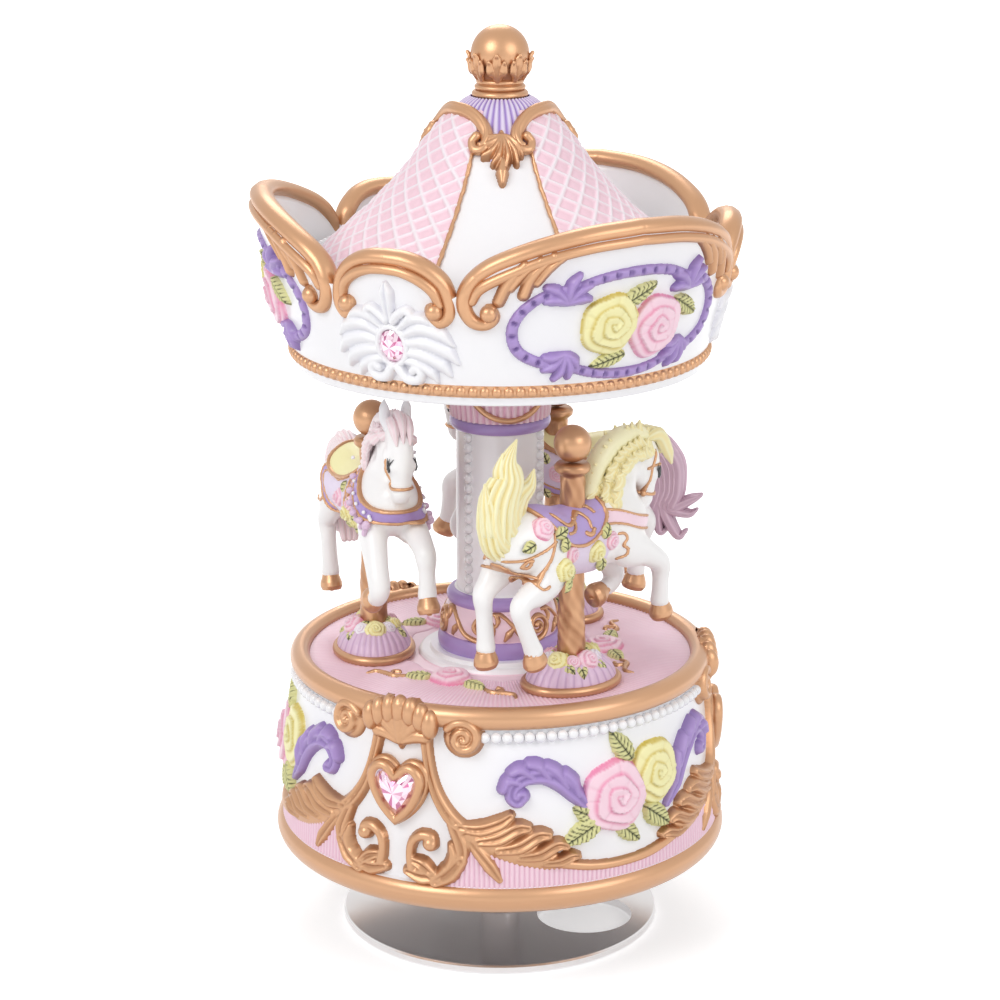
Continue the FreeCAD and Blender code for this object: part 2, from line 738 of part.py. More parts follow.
def air_brake():
    """A hub with two blades that the worm arbor spins."""
    top = bracket_top() - bracket_thickness - side_gap
    bottom = top - fan_height
    hub = rod(1.5, bottom, top)
    blades = block(-fan_radius, fan_radius, -fan_blade / 2, fan_blade / 2, bottom, top)
    tips = [block(s * fan_radius - (fan_blade if s > 0 else 0), s * fan_radius + (fan_blade if s < 0 else 0),
                  -1.3, 1.3, bottom, top) for s in (-1, 1)]
    brake = fused([hub, blades] + tips).cut(rod(worm_arbor_radius, bottom - 1, top + 1))
    return moved(brake, worm_x, worm_y, 0)


def bracket_screw_x():
    return worm_x + bracket_reach * 0.55


def governor_bracket():
    """A C-shaped bracket: a foot with the lower bearing, an upright and an arm with the upper bearing."""
    x0, x1 = worm_x - bracket_width / 2, bracket_x + bracket_thickness
    y0, y1 = worm_y - bracket_width / 2, worm_y + bracket_width / 2
    foot = block(x0, x1, y0, y1, bed_top, bed_top + bracket_thickness)
    arm = block(x0, x1, y0, y1, bracket_top() - bracket_thickness, bracket_top())
    upright = block(bracket_x, x1, y0, y1, bed_top, bracket_top())
    bores = [rod(worm_arbor_radius + RUN, bed_top - 1, bracket_top() + 1, worm_x, worm_y),
             rod(small_screw_radius, bed_top - 1, bed_top + bracket_thickness + 1, bracket_screw_x(), worm_y)]
    return fused([foot, arm, upright]).cut(Part.makeCompound(bores))


def top_screw(z, depth, x, y):
    """A small pan-head screw driven down at height z."""
    body = screw(0, depth, small_screw_head_radius, small_screw_head_height, small_screw_radius, 0, 0)
    body.rotate(Vector(0, 0, 0), Vector(1, 0, 0), 180)
    return moved(body, x, y, z)


def bracket_screw():
    return top_screw(bed_top + bracket_thickness, bracket_thickness + bed_thickness - 0.3,
                     bracket_screw_x(), worm_y)


def comb_screw_xs():
    return [drum_x + drum_length * share for share in (0.25, 0.75)]


def comb_screw_y():
    return comb_root_y + comb_block_depth / 2


def comb():
    """A steel plate slit into one tooth a note, the bass teeth slit deeper."""
    x0, x1 = drum_x, drum_x + drum_length
    plate = block(x0, x1, comb_tip_y, comb_back_y, comb_bottom, comb_bottom + comb_thickness)
    thinned = block(x0 - 1, x1 + 1, comb_tip_y - 1, comb_root_y - 0.6, comb_bottom + comb_thickness * 0.6,
                    comb_bottom + comb_thickness + 1)
    gap = note_pitch * (1 - comb_tooth_share)
    slits = [thinned]
    for k in range(note_count + 1):
        x = x0 + k * note_pitch
        deep = comb_tooth_length * (1.0 - 0.4 * k / note_count)
        slits.append(block(x - gap / 2, x + gap / 2, comb_tip_y - 1, comb_tip_y + deep,
                           comb_bottom - 1, comb_bottom + comb_thickness + 1))
    slits += [rod(small_screw_radius, comb_bottom - 1, comb_bottom + comb_thickness + 1, x, comb_screw_y())
              for x in comb_screw_xs()]
    return plate.cut(Part.makeCompound(slits))


def comb_screws():
    return Part.makeCompound([top_screw(comb_bottom + comb_thickness, comb_thickness + 3.0, x, comb_screw_y())
                              for x in comb_screw_xs()])


# ---------------------------------------------------------------- column
def center_column():
    """Turned foot, scroll band, slim shaft and a fluted capital that carries the canopy."""
    z1 = column_foot_height
    z2 = z1 + scroll_band_height
    z3 = z2 + column_ring_height
    end = canopy_bottom - column_bottom
    z5 = end - capital_height
    z4 = z5 - capital_ring_height
    return turned([(0, 0), (column_foot_radius, 0), ((column_foot_radius + 0.25, z1 / 2), (column_foot_radius - 0.4, z1)),
                   (column_foot_radius - 1.0, z1 + 0.2),
                   ((column_foot_radius - 0.9, (z1 + z2) / 2), (column_ring_radius, z2)),
                   ((column_ring_radius + 0.35, (z2 + z3) / 2), (shaft_radius + 0.7, z3)),
                   (shaft_radius, z3 + 0.3), (shaft_radius, z4 - 0.2),
                   (shaft_radius + 0.6, z4), ((shaft_radius + 1.35, (z4 + z5) / 2), (shaft_radius + 0.8, z5)),
                   ((shaft_radius + 1.3, z5 + 6.0), (capital_radius, end)), (0, end)], column_bottom)


# ---------------------------------------------------------------- canopy
def crown_radius(height):
    """The crown's outside radius at a height over the canopy's underside."""
    return crown_foot_radius + crown_flare * (height - crown_lip_height)


def lobe(crest, half_width, reach):
    """A prism over one lobe of the crown at azimuth 0, arched between two valleys."""
    shoulder = valley_height + 0.62 * (crest - valley_height)
    points = [(-half_width, 0), (-half_width, valley_height),
              ((-0.72 * half_width, shoulder), (-0.42 * half_width, crest - 0.8)),
              ((0, crest), (0.42 * half_width, crest - 0.8)),
              ((0.72 * half_width, shoulder), (half_width, valley_height)), (half_width, 0)]
    face = profile_face(points, lambda u, v: Vector(u, 0, canopy_bottom + v))
    return face.extrude(Vector(0, -reach, 0))


def oval_wire(scale, y):
    middle = Vector(0, y, canopy_bottom + oval_height_on_crown)
    return oval(middle, Vector(1, 0, 0), Vector(0, 0, 1), oval_half_width * scale, oval_half_height * scale)


def on_crown(shape):
    """A shape made on the plane y = 0 at the gem's height, set on the leaning wall."""
    leaned = tilted_out(shape, canopy_bottom + oval_height_on_crown)
    return moved(leaned, 0, -crown_radius(oval_height_on_crown), 0)


def oval_setting():
    border = 1 + oval_border / oval_half_width
    return on_crown(Part.makeLoft([oval_wire(border + 0.2, 1.0), oval_wire(border, -0.9)], True, True))


def oval_seat():
    return on_crown(Part.Face(oval_wire(1.0, -0.3)).extrude(Vector(0, -3, 0)))


def oval_gem():
    girdle = oval_depth * 0.4
    lower = Part.Face(oval_wire(1.0, -0.3)).extrude(Vector(0, -girdle, 0))
    upper = Part.makeLoft([oval_wire(1.0, -0.3 - girdle), oval_wire(0.6, -0.3 - oval_depth)], True, True)
    return on_crown(fused([lower, upper]))


def crown_ring():
    """The flared wall of the canopy, its top edge cut to six lobes and its foot rolled into a lip."""
    top = rose_lobe_height + 1.0
    bead = bead_bottom - canopy_bottom
    shell = turned([(crown_inner_foot, 0), (crown_foot_radius - 0.4, 0), (crown_foot_radius, 0.4),
                    (crown_foot_radius, bead),
                    ((crown_foot_radius + bead_band_proud, bead + bead_band_height / 2),
                     (crown_radius(bead + bead_band_height), bead + bead_band_height)),
                    (crown_radius(top), top), (crown_radius(top) - crown_wall, top),
                    (crown_inner_foot, bead)], canopy_bottom)
    far = crown_radius(top) + 2
    lobes = [turned_to(lobe(rose_lobe_height, rose_lobe_half_width, far), 120 * k) for k in range(FOLD)]
    lobes += [turned_to(lobe(heart_lobe_height, heart_lobe_half_width, far), 60 + 120 * k) for k in range(FOLD)]
    lobes.append(rod(far, canopy_bottom - 1, canopy_bottom + valley_height))
    wall = shell.common(fused(lobes))
    settings = [turned_to(oval_setting(), 60 + 120 * k) for k in range(FOLD)]
    return fused([wall] + settings).cut(three(oval_seat(), 60))


def canopy_ceiling():
    """The round board under the canopy, seated on the column."""
    return rod(crown_inner_foot - FIT, canopy_bottom, canopy_bottom + ceiling_thickness)


def spline_wall(outer, drop):
    """A turned shell under a smooth line of (radius, height), its underside the same line moved down."""
    def curve(points):
        line = Part.BSplineCurve()
        line.interpolate([Vector(r, 0, z) for r, z in points])
        return line.toShape()

    inner = [(r, z - drop) for r, z in outer]
    ends = [Part.LineSegment(Vector(a[0], 0, a[1]), Vector(b[0], 0, b[1])).toShape()
            for a, b in ((outer[-1], inner[-1]), (inner[0], outer[0]))]
    wire = Part.Wire([curve(outer), ends[0], curve(inner), ends[1]])
    return Part.Face(wire).revolve(Vector(0, 0, 0), Vector(0, 0, 1), 360)


def roof_drop():
    """The roof's wall, measured upright."""
    return roof_wall * 1.4


def roof_seat_radius():
    """The crown wall's inside radius at the roof's lowest edge."""
    return crown_radius(roof_base_height - roof_edge_drop - roof_drop()) - crown_wall - FIT


# from the roof's foot to the collar: how much of the way out, and of the way up
ROOF_LINE = [(1, 0), (0.80, 0.173), (0.625, 0.32), (0.47, 0.468), (0.351, 0.596), (0.256, 0.724),
             (0.174, 0.82), (0.085, 0.917), (0, 1)]


def canopy_roof():
    """A concave tent that rises from the crown's inside to the collar."""
    z = canopy_bottom
    low = z + roof_base_height
    line = [(roof_seat_radius(), low - roof_edge_drop)]
    line += [(collar_radius + out * (roof_base_radius - collar_radius), low + up * (collar_height - roof_base_height))
             for out, up in ROOF_LINE]
    return spline_wall(line, roof_drop())


def roof_collar():
    """The pleated cone that closes the roof's top."""
    return turned([(0, -roof_drop()), (collar_radius, -roof_drop()), (collar_radius, 0),
                   (collar_top_radius, collar_rise), (0, collar_rise)], canopy_bottom + collar_height)


# ---------------------------------------------------------------- finial
def cap_bottom():
    return canopy_bottom + collar_height + collar_rise


def cup_bottom():
    return cap_bottom() + cap_height


def ball_middle():
    return cup_bottom() + cup_height - ball_drop


def finial_cap():
    r = cap_radius
    body = turned([(0, 0), (r - 0.5, 0), ((r, 0.75), (r - 0.5, 1.5)), (r - 0.9, 1.6), ((r - 0.55, 2.1), (r - 1.0, 2.7)),
                   (cup_neck_radius + 0.5, 2.8), ((cup_neck_radius + 0.7, 3.3), (cup_neck_radius + 0.2, cap_height)),
                   (0, cap_height)], cap_bottom())
    return body


def finial_cup():
    """A cup of eight leaves that opens round the ball."""
    top = cup_height
    cup = turned([(0, 0), (cup_neck_radius, 0), ((cup_neck_radius + 1.5, 2.0), (cup_radius, top)),
                  (cup_radius - 0.7, top + 0.2), (0, top + 0.2)], cup_bottom())
    cup = cup.cut(Part.makeSphere(ball_radius + RUN, Vector(0, 0, ball_middle())))
    notches = []
    for k in range(8):
        azimuth = 45.0 * k + 22.5
        at = place(azimuth, cup_radius + 0.6, cup_bottom() + top + 0.4)
        notches.append(Part.makeSphere(1.3, at))
    return cup.cut(Part.makeCompound(notches))


def finial_ball():
    return Part.makeSphere(ball_radius, Vector(0, 0, ball_middle()))


# ---------------------------------------------------------------- horses, poles and stands
def hoof(x, y, z, dx, height):
    """A hoof from the pastern's end down, a little wider at the ground."""
    return limb([(x, y, z, 2.1, 2.0), (x + dx * 0.5, y, z - height * 0.5, 2.4, 2.2),
                 (x + dx, y, z - height, 2.7, 2.3)])


def horse_body():
    """A prancing horse about its pole, facing +X, its middle at the origin."""
    trunk = limb([(-20.6, 0, 1.8, 1.6, 1.6), (-19, 0, 2.2, 4.2, 4.2), (-14.5, 0, 2.2, 6.9, 6.1), (-6, 0, 0.8, 6.8, 6.4),
                  (3.5, 0, -0.2, 7.2, 6.3), (11, 0, 0.6, 7.2, 6.0), (16.2, 0, 1.2, 5.3, 4.6), (18.6, 0, 1.8, 2.2, 2.0)])
    neck = limb([(10.0, 0, 1.8, 6.8, 4.6), (12.6, 0, 6.4, 5.2, 3.7), (15.0, 0, 10.8, 4.2, 3.1),
                 (18.6, 0, 15.0, 3.6, 2.7), (22.4, 0, 16.0, 2.8, 2.3)])
    head = limb([(21.6, 0, 16.3, 1.8, 1.6), (22.8, 0, 14.4, 3.5, 2.7), (23.2, 0, 9.6, 3.9, 3.1),
                 (22.7, 0, 6.0, 2.7, 2.5), (22.1, 0, 3.6, 2.2, 2.2), (21.8, 0, 2.2, 1.2, 1.3)])
    ears = [limb([(20.4, s * 1.7, 16.6, 1.3, 0.9), (20.0, s * 2.1, 19.0, 1.0, 0.8), (19.8, s * 2.3, 21.0, 0.3, 0.3)])
            for s in (-1, 1)]
    mane = limb([(6.4, 0, 6.0, 1.6, 1.4), (7.4, 0, 10.0, 2.6, 2.0), (10.0, 0, 14.4, 2.9, 2.0),
                 (15.4, 0, 17.8, 2.7, 2.0), (22.0, 0, 17.2, 2.2, 2.0), (27.5, 0, 13.4, 1.3, 1.5)])
    return [trunk, neck, head, mane] + ears


def horse_tail(raised):
    """A tail that curls up like a flame, or one that arches and falls."""
    if raised:
        return limb([(-15.5, 0, 4.4, 1.6, 2.0), (-19.5, 0, 3.0, 1.8, 2.2), (-23.0, 0, 4.2, 2.3, 2.6),
                     (-24.6, 0, 8.4, 2.9, 2.8), (-23.8, 0, 13.2, 3.2, 2.4), (-21.6, 0, 17.6, 2.4, 1.8),
                     (-19.0, 0, 21.2, 1.3, 1.1), (-17.8, 0, 22.8, 0.5, 0.6)])
    return limb([(-14.5, 0, 4.4, 1.6, 1.8), (-17.6, 0, 7.6, 2.0, 2.0), (-21.2, 0, 9.0, 2.4, 2.2),
                 (-25.0, 0, 6.2, 3.0, 2.4), (-26.6, 0, 0.8, 3.4, 2.4), (-27.2, 0, -4.8, 3.0, 2.2),
                 (-28.0, 0, -8.6, 1.7, 1.4), (-28.4, 0, -10.4, 0.6, 0.6)])


def horse_legs():
    """Four legs in a prance: the right fore leg reaches, the left one is folded, and the hind legs push off."""
    reaching = limb([(12.0, -3.2, -3.0, 5.2, 3.4), (17.0, -4.0, -5.4, 3.4, 2.8), (21.6, -4.2, -8.2, 2.5, 2.3),
                     (23.2, -4.2, -10.6, 2.1, 2.0), (23.2, -4.2, -14.0, 1.8, 1.8), (22.9, -4.2, -17.2, 1.9, 1.9)])
    folded = limb([(12.0, 3.2, -4.0, 5.0, 3.4), (16.4, 4.0, -8.6, 3.1, 2.7), (18.4, 4.2, -12.2, 2.4, 2.2),
                   (17.4, 4.2, -14.6, 1.9, 1.9), (15.0, 4.2, -15.0, 1.7, 1.7)])
    near_hind = limb([(-10.0, -3.2, 0.0, 6.4, 3.8), (-12.0, -4.0, -5.6, 4.6, 3.3), (-17.6, -4.2, -6.8, 2.9, 2.4),
                      (-20.6, -4.2, -8.8, 2.3, 2.1), (-18.8, -4.2, -13.6, 1.8, 1.8), (-16.4, -4.2, -18.4, 1.8, 1.8)])
    far_hind = limb([(-13.5, 3.2, 0.6, 5.8, 3.8), (-18.0, 4.0, -3.6, 3.9, 3.0), (-21.0, 4.2, -6.4, 2.5, 2.3),
                     (-21.6, 4.2, -9.6, 2.0, 1.9), (-21.0, 4.2, -18.4, 1.8, 1.8)])
    hooves = [hoof(22.9, -4.2, -16.8, 0.2, 4.4), hoof(-16.6, -4.2, -18.0, 0.8, 4.2), hoof(-21.0, 4.2, -18.4, -0.4, 4.6),
              limb([(15.6, 4.2, -15.0, 2.0, 2.0), (13.0, 4.2, -15.6, 2.4, 2.1), (11.0, 4.2, -16.4, 2.7, 2.2)])]
    return [reaching, folded, near_hind, far_hind] + hooves


def horse_casting(nose_up, rise, right_leads, raised):
    """One casting, bored upright for its pole and cleared for the pole's collar and ball. It stands over azimuth 0
    and faces counter-clockwise, turned inwards."""
    horse = grown(horse_body() + [horse_tail(raised)] + horse_legs())
    if not right_leads:
        horse = horse.mirror(Vector(0, 0, 0), Vector(0, 1, 0))
    horse.rotate(Vector(0, 0, 0), Vector(0, 1, 0), -nose_up)
    horse.translate(Vector(0, 0, rise))
    horse.rotate(Vector(0, 0, 0), Vector(0, 0, 1), horse_turn)
    collar = pole_height - 2 * pole_ball_radius - 1.8 - horse_height
    horse = horse.cut(rod(pole_radius + RUN, -horse_length, horse_length))
    horse = horse.cut(rod(pole_collar_radius + RUN, collar, horse_length))
    return moved(horse, 0, -horse_circle_radius, deck_top + horse_height)


def pole():
    """A pole that is thicker at its foot, with a collar and a ball, standing in its stand's bore."""
    foot = stand_height - stand_bore_depth
    belly = horse_height - 9.0 * horse_scale
    ball = pole_height - pole_ball_radius
    collar = ball - pole_ball_radius - 0.6
    body = turned([(0, foot), (pole_foot_radius, foot), (pole_foot_radius, stand_height),
                   (pole_radius, belly), (pole_radius, collar - 1.0),
                   ((pole_collar_radius, collar), (pole_radius, collar + 1.0)), (0, collar + 1.0)], deck_top)
    body = fused([body, Part.makeSphere(pole_ball_radius, Vector(0, 0, deck_top + ball))])
    return moved(body, 0, -horse_circle_radius, 0)


def stand():
    """An oval dome on a rounded rim, bored for the pole's foot."""
    def ring(share, z):
        return oval(Vector(0, 0, deck_top + z), Vector(1, 0, 0), Vector(0, 1, 0),
                    stand_half_length * share, stand_half_width * share)

    rim = Part.makeLoft([ring(0.95, 0), ring(1.0, stand_rim_height * 0.35), ring(1.0, stand_rim_height * 0.7),
                         ring(0.95, stand_rim_height)], True, False)
    dome = Part.makeLoft([ring(0.93, stand_rim_height), ring(0.84, stand_rim_height + 1.2), ring(0.62, stand_height - 1.6),
                          ring(0.42, stand_height - 0.5), ring(0.38, stand_height)], True, False)
    bore = rod(pole_foot_radius + RUN, deck_top + stand_height - stand_bore_depth, deck_top + stand_height + 1)
    return moved(fused([rim, dome]).cut(bore), 0, -horse_circle_radius, 0)


# ---------------------------------------------------------------- nodes
HORSES = {
    # azimuth, degrees nose-up, rise, whether its right fore leg reaches, whether its tail is raised
    "yellow": (0, 0.0, 0.0, True, True),
    "mauve": (120, 7.0, 3.0, True, False),
    "pink": (240, 7.0, 3.0, False, False),
}


def nodes():
    """Every node's name and shape."""
    single = [turntable_disc, disc_screw, spindle_hub, winding_shaft, drive_gear, gear_clip,
              base_drum, bottom_cover, cover_screws, deck, movement_frame, movement_screws,
              spring_barrel, barrel_lid, mainspring, comb, comb_screws, governor_bracket, bracket_screw,
              pin_cylinder, cylinder_arbor, drive_pinion, cylinder_gear,
              worm_wheel, wheel_pinion, wheel_arbor, worm_shaft, air_brake,
              center_column, crown_ring, canopy_ceiling, canopy_roof, roof_collar,
              finial_cap, finial_cup, finial_ball]
    for make in single:
        yield make.__name__, make()
    yield "heart_gems", three(heart_gem(), 60)
    yield "oval_gems", three(oval_gem(), 60)
    post_of_horse, foot = pole(), stand()
    for colour, (azimuth, nose_up, rise, right_leads, raised) in HORSES.items():
        yield "horse_" + colour, turned_to(horse_casting(nose_up, rise, right_leads, raised), azimuth)
        yield "pole_" + colour, turned_to(post_of_horse, azimuth)
        yield "stand_" + colour, turned_to(foot, azimuth)


def main():
    os.makedirs("parts", exist_ok=True)
    for name, shape in nodes():
        if not shape.isValid():
            print("not valid:", name)
        if shape.ShapeType == "Compound" and len(shape.Solids) == 1:
            shape = shape.Solids[0]
        shape.exportStep("parts/" + name + ".step")
        print(name, len(shape.Solids), round(shape.Volume, 2))


main()
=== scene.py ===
"""A wind-up carousel music box: cast resin with painted relief, three horses and a chrome winding disc.

Sizes are in millimetres and azimuths in degrees from -Y towards +X, until a mesh is made in metres.
"""
import math
from functools import partial

import bpy
import numpy as np
import openvdb
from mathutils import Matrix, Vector


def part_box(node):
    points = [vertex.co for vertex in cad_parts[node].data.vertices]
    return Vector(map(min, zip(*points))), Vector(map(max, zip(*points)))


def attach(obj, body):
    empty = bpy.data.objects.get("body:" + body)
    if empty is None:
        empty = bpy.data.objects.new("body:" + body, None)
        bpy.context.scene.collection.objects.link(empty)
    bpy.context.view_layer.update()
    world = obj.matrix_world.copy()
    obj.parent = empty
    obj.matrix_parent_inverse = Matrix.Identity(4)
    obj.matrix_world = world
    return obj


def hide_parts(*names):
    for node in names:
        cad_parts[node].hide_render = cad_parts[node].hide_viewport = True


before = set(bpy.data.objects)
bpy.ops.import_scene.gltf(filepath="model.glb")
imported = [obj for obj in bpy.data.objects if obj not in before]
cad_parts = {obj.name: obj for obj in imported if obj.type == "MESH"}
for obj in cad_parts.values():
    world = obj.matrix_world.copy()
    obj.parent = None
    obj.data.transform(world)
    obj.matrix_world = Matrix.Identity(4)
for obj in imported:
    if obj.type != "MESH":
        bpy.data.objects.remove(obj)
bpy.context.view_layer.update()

MM = 0.001
FOLD = 3
THIRD = 360 / FOLD
HEART_PANELS = 60.0                       # azimuth of a heart panel; the rose panels and horses are at 0
PANEL = (-THIRD / 2, THIRD / 2)           # the azimuths of one third
BURIED = -0.3                             # where relief ends, it dips this far into its wall
EVERYWHERE = slice(None)                  # all the cells of a relief
HORSES = {
    # azimuth, degrees nose-up, rise, whether the right fore leg reaches, how far the other knee drops
    "yellow": (0.0, 0.0, 0.0, True, 0.0),
    "mauve": (120.0, 7.0, 3.0, True, 3.5),
    "pink": (240.0, 7.0, 3.0, False, 3.5),
}
HORSE_HEIGHT = 31.0                       # a horse's middle over the deck
HORSE_TURN = 15.0                         # each horse is turned inwards about its pole


def level(node, top=True):
    """A node's lowest or highest point."""
    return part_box(node)[1 if top else 0].z / MM


DRUM_FOOT = level("base_drum", top=False)
FOOT_BAND = DRUM_FOOT + 5.9               # where the gold band at the foot ends
DECK = level("deck") - 1.8                # the deck under its two steps
COLUMN_FOOT = level("center_column", top=False)
CANOPY = level("crown_ring", top=False)
CROWN_FLARE = 0.245                       # how much wider the crown's wall gets for each mm of height
POLE_CIRCLE = -(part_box("pole_yellow")[0].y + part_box("pole_yellow")[1].y) / 2 / MM


# ---------------------------------------------------------------- walls that carry relief
def on_axis(azimuth, radius, z):
    """Points on circles about the carousel's axis."""
    a = np.radians(azimuth)
    return np.stack([radius * np.sin(a), -radius * np.cos(a), z + 0 * a], axis=-1)


def outward(azimuth, rise=0.0):
    """Directions away from the carousel's axis, level unless they rise."""
    return on_axis(azimuth, 1.0, rise)


def drum_radius(z):
    return np.interp(z, [DECK - h for h in (34.4, 27.4, 21, 12, 2.6)], [45.4, 45.05, 44.4, 43.5, 42.2])


def crown_radius(z):
    return 42.1 + CROWN_FLARE * (z - CANOPY - 1.8)


def turned_wall(radius_at):
    return lambda azimuth, z, height: on_axis(azimuth, radius_at(z) + height, z)


# ---------------------------------------------------------------- lines
def smooth(points, per_span=14, closed=False):
    """A Catmull-Rom line through points of any dimension."""
    p = np.array(points, float)
    if closed:
        p = np.vstack([p[-1], p, p[0], p[1]])
    else:
        p = np.vstack([2 * p[0] - p[1], p, 2 * p[-1] - p[-2]])
    t = np.linspace(0, 1, per_span, endpoint=False)[:, None]
    spans = []
    for a, b, c, d in zip(p[:-3], p[1:-2], p[2:-1], p[3:]):
        spans.append(0.5 * (2 * b + (c - a) * t + (2 * a - 5 * b + 4 * c - d) * t ** 2
                            + (3 * b - a - 3 * c + d) * t ** 3))
    if not closed:
        spans.append(p[-2:-1])
    return np.vstack(spans)


def along(values, count):
    """Values given at the points of a line, spread over its smooth samples."""
    values = np.atleast_1d(np.array(values, float))
    return np.interp(np.linspace(0, 1, count), np.linspace(0, 1, len(values)), values)


def spiral(x, z, start_radius, end_radius, start, sweep, scale, steps=9):
    """Points that wind in towards (x, z). Angles are in degrees from +x towards +z."""
    points = []
    for k in range(steps):
        share = k / (steps - 1)
        angle = math.radians(start + sweep * share)
        radius = start_radius + (end_radius - start_radius) * share ** 0.8
        points.append((x + radius * math.cos(angle) / scale, z + radius * math.sin(angle)))
    return points


# ---------------------------------------------------------------- meshes
class Soup:
    """Vertices and faces gathered into one object."""

    def __init__(self):
        self.points, self.faces, self.painted_shade_and_accent = [], [], []
        self.count = 0

    def add(self, points, faces, painted_shade_and_accent=None):
        points = np.asarray(points, float).reshape(-1, 3)
        self.points.append(points)
        self.painted_shade_and_accent.append(np.zeros(len(points)) if painted_shade_and_accent is None else np.asarray(painted_shade_and_accent, float).ravel())
        for group in faces if isinstance(faces, list) else [faces]:
            self.faces.append(np.asarray(group, int) + self.count)
        self.count += len(points)
        return self

    def moved(self, place):
        """A copy whose points are carried by a function."""
        copy = Soup()
        copy.points = [place(points) for points in self.points]
        copy.faces, copy.painted_shade_and_accent, copy.count = self.faces, self.painted_shade_and_accent, self.count
        return copy

    def thrice(self):
        """Copies everything to the two other thirds of the circle."""
        made = Soup()
        for k in range(FOLD):
            made.points += [spun(points, THIRD * k) for points in self.points]
            made.faces += [faces + made.count for faces in self.faces]
            made.painted_shade_and_accent += self.painted_shade_and_accent
            made.count += self.count
        return made

    def build(self, name, look, slot=None, replaces=()):
        """Makes the piece. look is the name of a paint or a material; a paint's slot is read from its row but
        not given to the piece.
        """
        if slot is None:
            look, slot = PAINT[look], PAINTS[look][-1]
        mesh = bpy.data.meshes.new(name)
        points = np.vstack(self.points) * MM
        loops = np.concatenate([f.ravel() for f in self.faces])
        sizes = np.concatenate([np.full(len(f), f.shape[1]) for f in self.faces])
        mesh.vertices.add(len(points))
        mesh.vertices.foreach_set("co", points.ravel())
        mesh.loops.add(len(loops))
        mesh.loops.foreach_set("vertex_index", loops)
        mesh.polygons.add(len(sizes))
        mesh.polygons.foreach_set("loop_start", np.concatenate([[0], np.cumsum(sizes)[:-1]]))
        mesh.polygons.foreach_set("use_smooth", np.ones(len(sizes), bool))
        # how far each point takes its paint's second colour: painted shade in hollows, or an accent such as a
        # vein
        mesh.attributes.new("painted_shade_and_accent", "FLOAT", "POINT").data.foreach_set("value", np.concatenate(self.painted_shade_and_accent))
        mesh.update(calc_edges=True)
        mesh.validate()
        made = bpy.data.objects.new(name, mesh)
        bpy.context.scene.collection.objects.link(made)
        made.data.materials.append(look)
        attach(made, "carousel")
        if replaces:
            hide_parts(*replaces)
        return made


def spun(points, azimuth):
    """Points turned about the carousel's axis."""
    a = math.radians(azimuth)
    x, y, z = np.asarray(points, float).T
    return np.stack([x * math.cos(a) - y * math.sin(a), x * math.sin(a) + y * math.cos(a), z], axis=-1)


def grid_faces(columns, rows, wrap_columns=False, wrap_rows=False):
    """Quads over a grid of points stored column by column."""
    i = np.arange(columns if wrap_columns else columns - 1)
    j = np.arange(rows if wrap_rows else rows - 1)
    i, j = np.meshgrid(i, j, indexing="ij")
    right, up = (i + 1) % columns, (j + 1) % rows
    corners = [i * rows + j, right * rows + j, right * rows + up, i * rows + up]
    return np.stack(corners, axis=-1).reshape(-1, 4)


def closed_faces(columns, rows):
    """The faces of a turned solid: the grid round it and one face at each end."""
    foot = np.arange(columns)[None] * rows
    return [grid_faces(columns, rows, wrap_columns=True), foot[:, ::-1], foot + rows - 1]


def unit(v):
    return v / np.maximum(np.linalg.norm(v, axis=-1, keepdims=True), 1e-9)


def sweep(line, half_width, half_depth=None, facing=None, sides=12, closed=False, round_ends=True, fold=None):
    """A tube along a line of points. half_depth is measured along facing, and half_width across it.
    fold gives the section's shape: a function of the angle round it that scales its radius."""
    line = np.asarray(line, float)
    count = len(line)
    width = along(half_width, count)
    depth = width if half_depth is None else along(half_depth, count)
    ahead = np.roll(line, -1, 0) - np.roll(line, 1, 0)
    if not closed:
        ahead[0] = line[1] - line[0]
        ahead[-1] = line[-1] - line[-2]
    ahead = unit(ahead)
    if facing is None:
        facing = np.array([0.0, 0.0, 1.0])
        if abs(ahead[:, 2]).mean() > 0.75:
            facing = np.array([0.0, 1.0, 0.0])
    facing = np.broadcast_to(np.asarray(facing, float), line.shape)
    side = unit(np.cross(ahead, facing))
    normal = unit(np.cross(side, ahead))
    if round_ends and not closed:
        caps = ((0.35, 0.94), (0.75, 0.66), (1.0, 0.05))    # how far past the end, share of the width
        front = [(line[0] - ahead[0] * width[0] * reach, share, 0) for reach, share in caps[::-1]]
        back = [(line[-1] + ahead[-1] * width[-1] * reach, share, -1) for reach, share in caps]
        line = np.vstack([[p for p, _, _ in front], line, [p for p, _, _ in back]])
        take = [0] * 3 + list(range(count)) + [count - 1] * 3
        shares = np.array([s for _, s, _ in front] + [1] * count + [s for _, s, _ in back])
        width, depth = width[take] * shares, depth[take] * shares
        side, normal = side[take], normal[take]
    angle = np.linspace(0, 2 * math.pi, sides, endpoint=False)
    form = np.ones(sides) if fold is None else np.array([fold(a) for a in angle])
    points = (line[:, None] + side[:, None] * (width[:, None] * np.cos(angle) * form)[..., None]
              + normal[:, None] * (depth[:, None] * np.sin(angle) * form)[..., None])
    faces = grid_faces(len(line), sides, wrap_columns=closed, wrap_rows=True)
    if closed:
        return points.reshape(-1, 3), [faces]
    first, last = np.arange(sides)[None], (len(line) - 1) * sides + np.arange(sides)[None, ::-1]
    return points.reshape(-1, 3), [faces, first, last]


